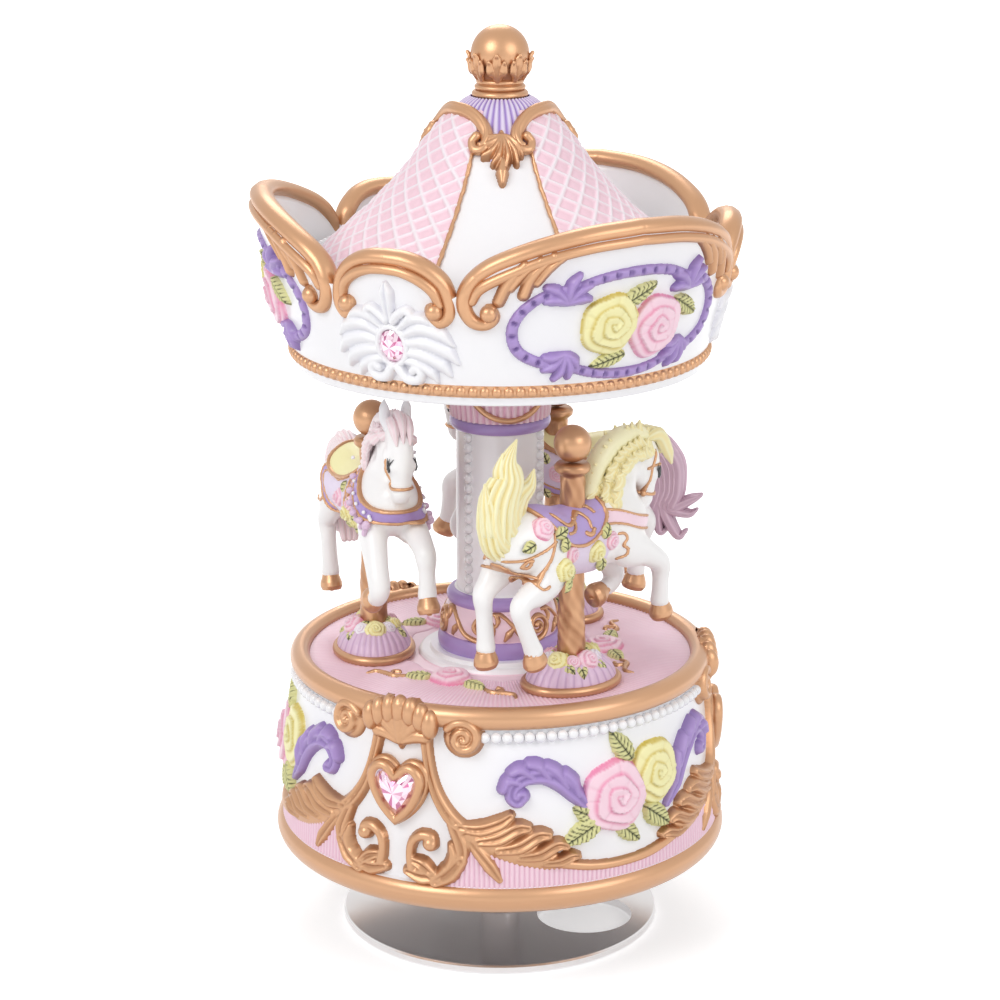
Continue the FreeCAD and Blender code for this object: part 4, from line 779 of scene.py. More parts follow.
def gems():
    """The heart and oval rhinestones, and the frames they are set in: gold round the hearts, white round the
    ovals.
    """
    material, surface = new_material("pink_stone")
    # each facet's painted light mixes pale pink towards deep pink
    hollow = add_node(material, "ShaderNodeAttribute", attribute_name="painted_shade_and_accent")
    link(material, mixed(material, hollow.outputs["Fac"], (0.97, 0.76, 0.86), (0.50, 0.10, 0.26)),
         surface.inputs["Base Color"])
    set_inputs(surface, Metallic=0.75, Roughness=0.05, Coat_Weight=1.0, Coat_Roughness=0.02)

    def in_panel(stone):
        return stone.moved(lambda points: spun(points, HEART_PANELS)).thrice()

    width, seat_y, depth = 8.8, 44.6, 2.6
    middle_z = DECK - 16.0

    def heart_seat(u, v, height):
        return (u, -(seat_y + height), middle_z + v)

    stone = Soup().add(*cut_stone(heart_outline, width + 0.1, depth + 0.05, 20, heart_seat))
    hearts = in_panel(stone).build("heart_stones", material, "pink_crystal", replaces=["heart_gems"])
    setting = Soup().add(*bezel(heart_outline(width + 1.9, 40), 0.9, heart_seat, 1.05, 1.35))
    setting.add(*bezel(heart_outline(width + 2.6, 40), -0.8, heart_seat, 1.2, 1.2))
    setting.thrice().build("heart_frames", "gold")

    oval_z = CANOPY + 11.8
    lean = math.atan(CROWN_FLARE)

    def oval_seat(u, v, height):
        out = 0.25 + height
        return (u, -(crown_radius(oval_z) + v * math.sin(lean) + out * math.cos(lean)),
                oval_z + v * math.cos(lean) - out * math.sin(lean))

    stone = Soup().add(*cut_stone(oval_outline, 5.1, 1.75, 16, oval_seat))
    ovals = in_panel(stone).build("oval_stones", material, "pink_crystal", replaces=["oval_gems"])
    setting = Soup().add(*bezel(oval_outline(6.1, 36), 0.35, oval_seat, 0.62, 0.8))
    setting.thrice().build("oval_frames", "white")
    for made in (hearts, ovals):
        made.data.polygons.foreach_set("use_smooth", np.zeros(len(made.data.polygons), bool))


# ---------------------------------------------------------------- canopy
def crown_line(points, lift, mirror=False, azimuth=0.0):
    """A smooth line of (azimuth, z) over the crown's wall, raised by lift, and its outward directions."""
    line = smooth(points)
    turned = (-line[:, 0] if mirror else line[:, 0]) + azimuth
    raised = on_axis(turned, crown_radius(line[:, 1]) + along(lift, len(line)), line[:, 1])
    return raised, outward(turned)


def crown_edge(azimuth):
    """Height of the wall's edge: it dips between the lobes, where the rolled rims curl away from it."""
    from_rose = np.abs((np.asarray(azimuth) + THIRD / 2) % THIRD - THIRD / 2)
    return np.interp(from_rose, [0, 12, 23, 33, 38.2, 41.5, 44, 45.6, 47, 51, 55.5, 60],
                     [155.6, 154.9, 153.0, 150.1, 147.4, 145.2, 144.0, 143.8, 145.6, 148.5, 149.8, 150.1])


def crown_wall():
    """The flared wall, with its lip and the band that the beads lie on."""
    azimuth = np.arange(0, 360, 1.0)
    lower = [(39.5, 0.0), (41.5, 0.0), (41.9, 0.1), (42.1, 0.5), (42.1, 1.7), (42.35, 2.0), (42.75, 2.5),
             (42.85, 2.9), (42.75, 3.4), (42.6, 3.9)]
    share = np.linspace(0, 1, 22)
    edge = crown_edge(azimuth)[:, None]
    start = CANOPY + 4.1
    outer_z = start + (edge - start) * share
    outer = np.stack([crown_radius(outer_z), outer_z], axis=-1)
    inner_z = (edge - 0.1) + (CANOPY + 1.8 - edge) * share
    inner = np.stack([crown_radius(inner_z) - 2.8, inner_z], axis=-1)
    foot = np.broadcast_to(np.array(lower) + [0, CANOPY], (len(azimuth), len(lower), 2))
    profile = np.concatenate([foot, outer, inner, foot[:, :1] * [1, 0] + [-0.2, CANOPY + 0.2]], axis=1)
    points = on_axis(np.broadcast_to(azimuth[:, None], profile.shape[:2]), profile[..., 0], profile[..., 1])
    material = banded("crown_paint", [(CANOPY - 1, "white"), (CANOPY + 1.7, "gold"), (CANOPY + 4.2, "white")])
    wall = Soup().add(points, grid_faces(len(azimuth), profile.shape[1], wrap_columns=True, wrap_rows=True))
    wall.build("crown_wall", material, "white_resin", replaces=["crown_ring"])


def crown_rims():
    """The rolled gold edges of the six lobes, ending in curls, each with a slimmer roll beneath."""
    gold = Soup()
    rose_rim = [(35.3, 141.9), (34.5, 140.4), (36.4, 139.1), (39.4, 139.7), (41.2, 142.2), (40.9, 145.2),
                (38.2, 148.2), (33.0, 151.0), (23.0, 154.0), (12.0, 155.9), (0.0, 156.6)]
    rose_under = [(39.4, 143.6), (37.4, 146.2), (32.2, 148.6), (22.6, 151.8), (12.0, 153.7), (0.0, 154.4)]
    heart_rim = [(11.0, 141.6), (11.2, 140.0), (13.0, 139.2), (14.8, 140.8), (14.8, 143.6), (13.0, 146.8),
                 (9.0, 149.5), (4.5, 150.8), (0.0, 151.1)]
    heart_under = [(12.8, 142.6), (11.4, 145.4), (8.0, 147.6), (4.0, 148.8), (0.0, 149.1)]
    for azimuth, rim, under, curl, on_face in ((0.0, rose_rim, rose_under, 35.6, 4),
                                               (HEART_PANELS, heart_rim, heart_under, 11.6, 3)):
        count = len(rim)
        width = [1.5, 1.25, 1.25, 1.45, 1.65] + [1.75] * (count - 5)
        depth = [1.6, 1.4, 1.4, 1.5, 1.9] + [2.4] * (count - 5)
        lift = [0.0] * on_face + [-0.6, -1.4] + [-2.1] * (count - on_face - 2)
        for mirror in (False, True):
            line, out = crown_line(rim, lift, mirror, azimuth)
            gold.add(*sweep(line, width, depth, out))
            line, out = crown_line(under, 0.1, mirror, azimuth)
            gold.add(*sweep(line, [0.9, 1.1, 1.1, 1.0, 1.0], facing=out))
            gold.add(*ball(on_axis(azimuth + (-curl if mirror else curl), crown_radius(141.4) + 0.5, 141.3),
                           1.75))
    gold.thrice().build("crown_rims", "gold")


def crown_reliefs():
    """White leaves about each oval stone, and a violet cartouche with two roses in each wide lobe."""
    scale = math.radians(46.0)
    canvas = partial(Relief, turned_wall(crown_radius), PANEL, (CANOPY + 4.0, CANOPY + 33), scale,
                     period=True)
    h = HEART_PANELS
    white = canvas()
    both = partial(white.both, about=h)

    both([(2.8, 133.4), (6.4, 133.8), (10.6, 133.0)], [2.2, 3.0, 2.0], 1.0)
    both([(3.0, 130.8), (6.0, 130.4), (9.6, 128.8), (11.2, 126.8)], [1.0, 1.5, 1.4, 0.35], 1.6, 1)
    both([(3.4, 132.6), (8.0, 132.2), (12.4, 130.6), (14.6, 128.2)], [1.1, 1.7, 1.7, 0.4], 1.7, 1)
    both([(3.4, 134.4), (8.4, 134.8), (13.6, 133.4), (16.8, 130.8)], [1.1, 1.8, 1.8, 0.4], 1.8, 1)
    both([(3.2, 136.0), (7.6, 137.6), (12.4, 136.8), (15.8, 134.4)], [1.0, 1.7, 1.7, 0.4], 1.9, 1)
    both([(2.4, 137.4), (5.6, 139.4), (9.4, 139.6), (12.4, 137.9)], [0.8, 1.4, 1.4, 0.4], 1.8, 1)
    both([(0.8, 129.4), (3.0, 127.2), (5.8, 127.0), (7.0, 128.4), (5.9, 129.5), (4.8, 128.9)],
         [1.1, 1.2, 1.1, 1.0, 1.0, 1.0], 1.9)
    both([(1.0, 138.8), (2.8, 140.4), (4.8, 141.2), (5.8, 140.2), (5.0, 139.4)],
         [0.8, 1.0, 1.0, 0.9, 0.9], 1.9)
    white.stroke([(h, 139.4), (h, 142.2), (h, 144.4), (h, 146.2)], [0.9, 1.4, 1.6, 0.6], 1.8, 2)
    for angle in range(0, 360, 20):
        a = math.radians(angle)
        white.stroke([(h + 3.2 * math.cos(a) / scale, 133.9 + 3.9 * math.sin(a)),
                      (h + 3.3 * math.cos(a) / scale, 133.9 + 4.0 * math.sin(a))], 0.75, 1.1)
    white.build("crown_white_relief", "white")

    gold = canvas()
    for points, width in (([(27.5, 151.0), (31.0, 147.6), (33.3, 143.6)], [0.8, 1.3, 1.2]),
                          ([(21.0, 152.6), (25.6, 148.8), (27.6, 144.9)], [0.8, 1.3, 1.2]),
                          ([(17.0, 153.2), (21.6, 150.4), (24.6, 147.2)], [0.6, 1.0, 0.8]),
                          ([(24.0, 152.0), (28.0, 149.0), (30.6, 146.2)], [0.6, 1.0, 0.8])):
        gold.both(points, width, 1.3, 1)
    gold.build("crown_gold_tongues", "gold")

    violet = canvas()
    violet.both([(17.6, 145.8), (23.2, 144.4), (28.0, 141.4), (30.2, 137.6), (28.8, 133.6), (23.8, 131.2),
                 (17.6, 130.2)], [0.85, 0.95, 1.05, 1.1, 1.1, 1.05, 0.95], 1.0, 0, 2.7)
    for side in (1, -1):
        violet.fan(side * 17.2, 142.8, [90, 58, 122, 28, 152], [5.9, 5.4, 5.4, 4.2, 4.2], 1.3, 1.8, curl=18)
        violet.fan(side * 17.2, 132.8, [270, 238, 302, 208, 332], [5.4, 5.0, 5.0, 4.0, 4.0], 1.3, 1.8,
                   curl=-18)
    for points in ([(-17.0, 145.4), (-9.0, 147.4), (0.0, 148.2), (9.0, 147.6), (17.0, 145.4)],
                   [(-17.0, 130.2), (-9.0, 128.3), (0.0, 127.5), (9.0, 128.1), (17.0, 130.2)]):
        violet.stroke(points, [0.9, 1.0, 1.05, 1.0, 0.9], 1.0, notches=2.7)
    violet.build("crown_violet_cartouches", "violet")

    bouquet(canvas, "crown",
            [((-3.6, 141.6), (6.0, 145.6), 1.9, 1.3), ((12.8, 141.4), (22.2, 137.2), 2.0, 1.3),
             ((-0.4, 131.8), (-10.2, 129.6), 1.7, 1.2)],
            pink=(7.8, 136.4, 6.5, 2.9, 35), yellow=(-5.8, 138.0, 6.3, 2.9))


def crown_beads():
    """The gold bead string at the crown's foot, and the pearls inside it where the roof begins."""
    beads = Soup()
    count = 39
    for k in range(count):
        beads.add(*ball(on_axis(THIRD * k / count, 42.2, CANOPY + 2.95), (1.14, 1.14, 1.2)))
    beads.thrice().build("crown_beads", "gold")
    pearls = Soup()
    count = 36
    for k in range(count):
        pearls.add(*ball(on_axis(THIRD * k / count, 38.7, CANOPY + 21.2), 1.05, rings=6, sides=9))
    pearls.thrice().build("inner_pearls", "pearl")


ROOF_LINE = smooth([(38.6, 19.1), (37.0, 20.9), (31.2, 26.3), (26.0, 30.9), (21.5, 35.5), (18.0, 39.5),
                    (15.2, 43.5), (12.8, 46.5), (10.2, 49.5), (7.7, 52.1), (5.6, 53.4)], per_span=6)
PINK_PANELS = 28.5                        # azimuth of a quilted roof panel
HALF_PANEL = 37.2                         # and how far its gold edges are from there
RIDGE_END = 75                            # the point of a roof scroll where the fine ridge along it ends


def roof_surface(azimuth, z, height):
    """A point over the roof: the height is measured square to it."""
    out, up = ROOF_LINE.T
    radius = np.interp(z - CANOPY, up, out)
    slope = np.interp(z - CANOPY, up, np.gradient(out, up))
    size = np.sqrt(1 + slope ** 2)
    return on_axis(azimuth, radius + height / size, z - height * slope / size)


def roof():
    """Quilted pink panels edged in gold, violet pleats under the finial, and the gold scrolls over them."""
    quilt = Relief(roof_surface, (PINK_PANELS - 37.5, PINK_PANELS + 37.5), (CANOPY + 20.3, CANOPY + 51.3),
                   0.42, 0.2)
    a, z = quilt.grid()
    a = a - PINK_PANELS
    slant = np.concatenate([[0], np.cumsum(np.hypot(*np.diff(ROOF_LINE, axis=0).T))])
    out = np.interp(z - CANOPY, ROOF_LINE[:, 1], ROOF_LINE[:, 0])
    up = np.interp(z - CANOPY, ROOF_LINE[:, 1], slant)
    across = np.radians(a) * out
    pitch = 3.5
    ridges = []
    for side in (1, -1):
        phase = (across * 0.66 + side * up * 0.80) / pitch
        ridges.append(np.abs((phase % 1) - 0.5) * pitch)
    ridge = np.clip(1.3 - np.minimum(*ridges) / 0.40, 0, 1)
    inside = np.minimum(HALF_PANEL - np.abs(a), 3) * np.radians(1) * out
    puff = np.clip(np.minimum(*ridges) / 1.6, 0, 1) ** 0.7
    body = 0.65 * np.clip(inside / 0.35, 0, 1) ** 0.5 + 0.5 * ridge ** 0.7 + 0.35 * puff
    quilt.lay(EVERYWHERE, np.where(inside > 0, body, BURIED), ridge)
    quilt.soup().thrice().build("roof_quilts", "quilt")

    gold = Soup()
    for side in (1, -1):
        z = np.linspace(CANOPY + 20.4, CANOPY + 46.5, 60)
        wobble = 0.10 * np.sin(1.7 * z) + 0.08 * np.sin(4.1 * z + side)
        edge = PINK_PANELS + side * HALF_PANEL
        line = roof_surface(edge + 0 * z, z, 0.35 + 0 * z)
        gold.add(*sweep(line, 0.42 + wobble * 0.8, 0.5, outward(edge, 0.6)))
        scroll = smooth([(0.0, 173.0, 0.9), (18.0, 172.8, 0.9), (33.0, 172.0, 0.9), (43.5, 170.4, 0.9),
                         (47.5, 168.6, 0.8), (45.5, 166.9, 0.8), (39.5, 166.6, 0.9), (36.0, 167.8, 1.0),
                         (38.5, 168.8, 1.1)])
        turned, z, lift = PINK_PANELS + side * scroll[:, 0], scroll[:, 1], scroll[:, 2]
        out = outward(turned, 1.0)
        gold.add(*sweep(roof_surface(turned, z, lift), [1.25, 1.25, 1.35, 1.35, 1.3, 1.15, 1.0, 0.9, 1.0],
                        [1.3, 1.3, 1.3, 1.2, 1.1, 1.0, 0.9, 1.1], out))
        ridge = roof_surface(turned, z + 0.5, lift + 0.9)[:RIDGE_END]
        gold.add(*sweep(ridge, 0.55, 0.5, out[:RIDGE_END]))
    gold.thrice().build("roof_scrolls", "gold")

    white_middle = PINK_PANELS - THIRD / 2
    palmette = Relief(roof_surface, (white_middle - 40, white_middle + 40), (CANOPY + 32, CANOPY + 50),
                      0.30, 0.2)
    palmette.stroke([(white_middle, 169.6), (white_middle, 166.4), (white_middle, 164.4)],
                    [1.0, 2.6, 1.6], 1.2)
    palmette.fan(white_middle, 169.4, [270, 243, 297, 219, 321, 200, 340],
                 [5.4, 5.6, 5.6, 5.9, 5.9, 5.6, 5.6], 1.15, 2.1, curl=-20)
    palmette.stroke([(white_middle, 164.8), (white_middle, 162.8), (white_middle, 161.0)],
                    [0.7, 1.25, 0.6], 2.0)
    palmette.soup().thrice().build("roof_palmettes", "gold")

    pleats = Relief(roof_surface, PANEL, (CANOPY + 41, CANOPY + 53.3), 0.21, 0.09, period=True)
    a, z = pleats.grid()
    from_white = np.abs((a - white_middle + 60) % THIRD - 60)
    floor = np.interp(from_white, [0, 12, 24, 34, 60], [164.0, 165.4, 167.6, 172.2, 173.2])
    pleat = 0.5 + 0.5 * np.cos(2 * math.pi * a / 7.5)
    # painted shade in the folds between the pleats
    pleats.lay(EVERYWHERE, np.where(z > floor, 0.25 + 0.32 * pleat ** 0.6, BURIED), (1 - pleat) ** 1.6)
    pleats.build("roof_pleats", "violet_pale")


def finial():
    """The acanthus leaves that hold the ball: eight, with curled tips, over a shallow cup."""
    cup = Soup()
    azimuth = np.arange(0, 360, 6.0)
    profile = smooth([(4.0, 178.4), (4.4, 179.2), (5.0, 180.2), (5.5, 181.4), (5.3, 182.0), (4.9, 181.9)],
                     per_span=6)
    a, k = np.meshgrid(azimuth, np.arange(len(profile)), indexing="ij")
    faces = grid_faces(len(azimuth), len(profile), wrap_columns=True)
    # the cup, down between the leaves under the ball, is painted darker all over: painted shade
    cup.add(on_axis(a, profile[k, 0], profile[k, 1]), faces, np.full(a.shape, 0.6))
    for k in range(8):
        turn = 45.0 * k + 6
        out = outward(turn)
        for spread, reach, w in ((0, 0.0, 1.0), (12, -1.3, 0.8), (-12, -1.3, 0.8)):
            top = 184.4 + reach
            line = smooth([on_axis(turn + spread * 0.1, 4.3, 178.9), on_axis(turn + spread * 0.5, 5.2, 180.4),
                           on_axis(turn + spread, 5.9, top - 1.9),
                           on_axis(turn + spread * 1.1, 6.15, top - 0.6),
                           on_axis(turn + spread * 1.15, 6.5, top)])
            cup.add(*sweep(line, [0.5 * w, 0.9 * w, 1.15 * w, 0.9 * w, 0.5 * w],
                           [0.5, 0.5, 0.5, 0.45, 0.4], out))
    cup.build("finial_leaves", "gold", replaces=["finial_cup"])
    globe = Soup().add(*ball((0.0, 0.0, 184.1), 5.88, rings=40, sides=64))
    globe.build("finial_globe", "gold", replaces=["finial_ball"])


# ---------------------------------------------------------------- column and deck
def column():
    """Gold scrolls on the foot, pearl strings on the shaft, and flutes under gold swags on the capital."""
    foot = COLUMN_FOOT
    middle = -18.0

    def foot_radius(z):
        return np.interp(z - foot, [3.3, 6.5, 9.8], [11.8, 11.75, 10.85])

    band = Relief(turned_wall(foot_radius), (middle - 60, middle + 60), (foot + 3.0, foot + 10.2), 0.2, 0.16,
                  period=True)
    for k in range(2):
        x = middle + 60 * k - 34
        curl = spiral(x, foot + 6.5, 2.9, 0.4, 270, 600, 0.2, steps=18)
        band.stroke([(x - 50, foot + 9.4), (x - 40, foot + 9.3), (x - 29, foot + 7.4), (x - 20, foot + 5.0),
                     (x - 10, foot + 3.9)] + curl, [0.3, 0.55, 0.65, 0.6, 0.55, 0.5, 0.5, 0.5, 0.6], 0.9)
        band.stroke([(x - 36, foot + 4.0), (x - 32, foot + 5.4), (x - 26, foot + 6.8)], [0.3, 0.8, 0.3], 0.9)
        band.stroke([(x + 14, foot + 9.4), (x + 17, foot + 8.2), (x + 15, foot + 7.0)], [0.4, 0.6, 0.3], 0.9)
    band.build("column_scrolls", "gold")

    pearls = Soup()
    count = 16
    for azimuth in (-77, 28, 120, 196):
        for k in range(count):
            pearls.add(*ball(on_axis(azimuth, 9.25, foot + 13.6 + 2.16 * k), 0.98))
    pearls.build("column_pearls", "pearl")

    def capital_radius(z):
        return np.interp(z - foot, [49.6, 55.6, 61.3], [9.9, 10.5, 12.4])

    flutes = Relief(turned_wall(capital_radius), (middle - 64, middle + 56), (foot + 49.6, foot + 61.2), 0.19,
                    0.17, period=True)
    a, z = flutes.grid()
    flute = 0.5 + 0.5 * np.cos(2 * math.pi * a / 8)
    # painted shade in the grooves between the flutes
    flutes.lay(EVERYWHERE, 0.1 + 0.4 * flute, 0.9 * (1 - flute) ** 2)
    flutes.build("capital_flutes", "pink")
    swags = Soup()

    def cord(line, half_width):
        azimuth, z = (line + [middle - 4, 0]).T
        swags.add(*sweep(on_axis(azimuth, capital_radius(z) + 0.5, z), half_width, 0.6, outward(azimuth)))

    cord(smooth([(-54, 120.8), (-46, 116.4), (-26, 112.6), (0, 111.2), (26, 112.6), (46, 116.4),
                 (54, 120.8)]), 0.62)
    for u in (-54, 54):
        cord(np.array([(u, 121.4), (u, 118.4), (u, 115.4)]), [0.5, 0.6, 0.9])
    swags.thrice().build("capital_swags", "gold")


def deck_surface(azimuth, radius, height):
    return on_axis(azimuth, radius, DECK + height)


def deck_garland(x, y, height):
    """A flat patch of the deck: x runs to the right and y outwards from the axis, facing a heart panel."""
    return spun(np.stack([x, -y, DECK + height + 0 * x], axis=-1).reshape(-1, 3),
                HEART_PANELS).reshape(*x.shape, 3)


def deck_ornament():
    """Fine radial ribs in pink, and between the horses a rose with two leaves and two gold scrolls."""
    inner, outer = 19.6, 39.9
    ribs = Relief(deck_surface, PANEL, (inner, outer), math.radians(30), 0.2, period=True)
    a, r = ribs.grid()
    edge = inner + 0.5 + 0.35 * np.sin(math.radians(9) * a) + 0.25 * np.sin(math.radians(21) * a + 1)
    rib = 0.5 + 0.5 * np.cos(2 * math.pi * a / 1.5)
    rise = np.clip((r - edge) / 0.6, 0, 1) ** 0.5
    # painted shade between the ribs
    ribs.lay(EVERYWHERE, np.where(r > edge, (0.10 + 0.22 * rib) * rise, BURIED), 0.5 * (1 - rib) ** 2)
    ribs.build("deck_ribs", "pink")

    patch = partial(Relief, deck_garland, (-19, 19), (17, 30), 1.0, 0.17)
    rose = patch()
    rose.rose(0.0, 21.9, 4.4, 2.5)
    rose.soup().thrice().build("deck_roses", "rose")
    leaves = patch()
    leaves.leaf((3.8, 23.2), (9.4, 24.8), 1.8, 1.1)
    leaves.leaf((-3.8, 23.2), (-9.4, 24.8), 1.8, 1.1)
    leaves.soup().thrice().build("deck_leaves", "leaf")
    gold = patch()
    gold.both([(9.0, 24.6), (11.2, 25.8), (13.6, 25.2), (16.0, 25.0), (17.2, 26.6)],
              [0.35, 0.6, 0.6, 0.5, 0.2], 0.9)
    gold.both([(12.0, 25.4), (12.6, 23.6), (11.4, 23.2)], [0.5, 0.5, 0.6], 0.9)
    gold.soup().thrice().build("deck_scrolls", "gold")


# ---------------------------------------------------------------- horses
class Form:
    """A solid as a field of distances, negative inside, on a grid in millimetres."""
    pitch = 0.34

    def __init__(self, low, high):
        self.low = np.array(low, float)
        self.size = np.ceil((np.array(high) - self.low) / self.pitch).astype(int) + 1
        self.field = np.full(self.size, 3.0)
        self.axes = [self.low[k] + self.pitch * np.arange(self.size[k]) for k in range(3)]

    def chain(self, stations, blend=1.6):
        """Adds ovals along a smooth line. A station is (x, y, z, half depth, half width across y)."""
        line = smooth(stations, per_span=24)
        length = np.concatenate([[0], np.cumsum(np.linalg.norm(np.diff(line[:, :3], axis=0), axis=1))])
        steps = np.linspace(0, length[-1], max(int(length[-1] / 0.4), 1) + 1)
        line = np.stack([np.interp(steps, length, line[:, k]) for k in range(5)], axis=-1)
        grown = np.full(self.size, 3.0)
        for x, y, z, depth, width in line:
            cells = []
            for k, (middle, reach) in enumerate(((x, depth), (y, width), (z, depth))):
                first = max(math.floor((middle - reach - 1.8 - self.low[k]) / self.pitch), 0)
                cells.append(slice(first, math.ceil((middle + reach + 1.8 - self.low[k]) / self.pitch) + 1))
            cells = tuple(cells)
            dx, dy, dz = (self.axes[k][cells[k]] - middle for k, middle in enumerate((x, y, z)))
            flattened = dy[None, :, None] * depth / width
            away = np.sqrt(dx[:, None, None] ** 2 + flattened ** 2 + dz[None, None, :] ** 2)
            np.minimum(grown[cells], away - depth, out=grown[cells])
        near = np.clip(blend - np.abs(self.field - grown), 0, None) / blend
        self.field = np.minimum(self.field, grown) - near ** 2 * blend / 4

    def dent(self, x, y, z, radius, blend=0.6):
        """Presses a ball into both sides."""
        for side in (1, -1):
            away = np.sqrt((self.axes[0] - x)[:, None, None] ** 2
                           + (self.axes[1] - side * y)[None, :, None] ** 2
                           + (self.axes[2] - z)[None, None, :] ** 2)
            hollow = radius - away
            near = np.clip(blend - np.abs(self.field - hollow), 0, None) / blend
            self.field = np.maximum(self.field, hollow) + near ** 2 * blend / 4

    def flat(self, measure):
        """A field that is the same all the way across y, from a function of x and z."""
        x, z = np.meshgrid(self.axes[0], self.axes[2], indexing="ij")
        return np.broadcast_to(measure(x, z)[:, None, :], self.size)

    def layer(self, measure, thickness):
        """The mesh of a layer over the form wherever measure(x, z) is negative."""
        return self.mesh(np.maximum(np.maximum(self.field - thickness, -(self.field + 0.6)),
                                    self.flat(measure)))

    def slope(self, i, j, k):
        """The direction in which the field grows in some cells."""
        f = self.field
        return unit(np.stack([f[i + 1, j, k] - f[i - 1, j, k], f[i, j + 1, k] - f[i, j - 1, k],
                              f[i, j, k + 1] - f[i, j, k - 1]], axis=-1))

    def mesh(self, field=None):
        """Points and quads of a field's surface."""
        grid = openvdb.FloatGrid(3.0)
        grid.copyFromArray((self.field if field is None else field).astype(np.float32))
        points, quads = grid.convertToQuads(isovalue=0.0)
        return points * self.pitch + self.low, quads

    def skin(self, x, z, side):
        """Where a line across the form leaves it on one side: the point and the surface's direction there."""
        i, k = (round((v - self.low[a]) / self.pitch) for v, a in ((x, 0), (z, 2)))
        column = self.field[i, :, k] if side > 0 else self.field[i, ::-1, k]
        inside = np.nonzero(column < 0)[0]
        j = inside[-1] if len(inside) else len(column) // 2
        j = min(j, len(column) - 2)
        share = column[j] / (column[j] - column[j + 1]) if column[j + 1] != column[j] else 0.0
        y = side * (self.low[1] + (j + share) * self.pitch)
        j = round((y - self.low[1]) / self.pitch)
        return np.array([x, y, z]), self.slope(i, j, k)


def near_line(points, half_width, closed=False):
    """A measure for Form.layer: negative within half_width of a smooth line through (x, z) points."""
    line = smooth(points, per_span=10, closed=closed)

    def measure(x, z):
        away = np.full(x.shape, 1e9)
        start, end = (line, np.roll(line, -1, 0)) if closed else (line[:-1], line[1:])
        for (ax, az), (bx, bz) in zip(start, end):
            length = max((bx - ax) ** 2 + (bz - az) ** 2, 1e-9)
            t = np.clip(((x - ax) * (bx - ax) + (z - az) * (bz - az)) / length, 0, 1)
            away = np.minimum(away, np.hypot(x - ax - t * (bx - ax), z - az - t * (bz - az)))
        return away - half_width
    return measure


def within(points):
    """A measure that is negative inside a smooth closed outline of (x, z) points."""
    line = smooth(points, per_span=10, closed=True)
    edge = near_line(points, 0.0, closed=True)

    def measure(x, z):
        crossings = np.zeros(x.shape, int)
        for (ax, az), (bx, bz) in zip(line, np.roll(line, -1, 0)):
            spans = (az > z) != (bz > z)
            crossings += spans & (x < ax + (z - az) * (bx - ax) / (bz - az if bz != az else 1e-9))
        return np.where(crossings % 2 == 1, -1, 1) * edge(x, z)
    return measure


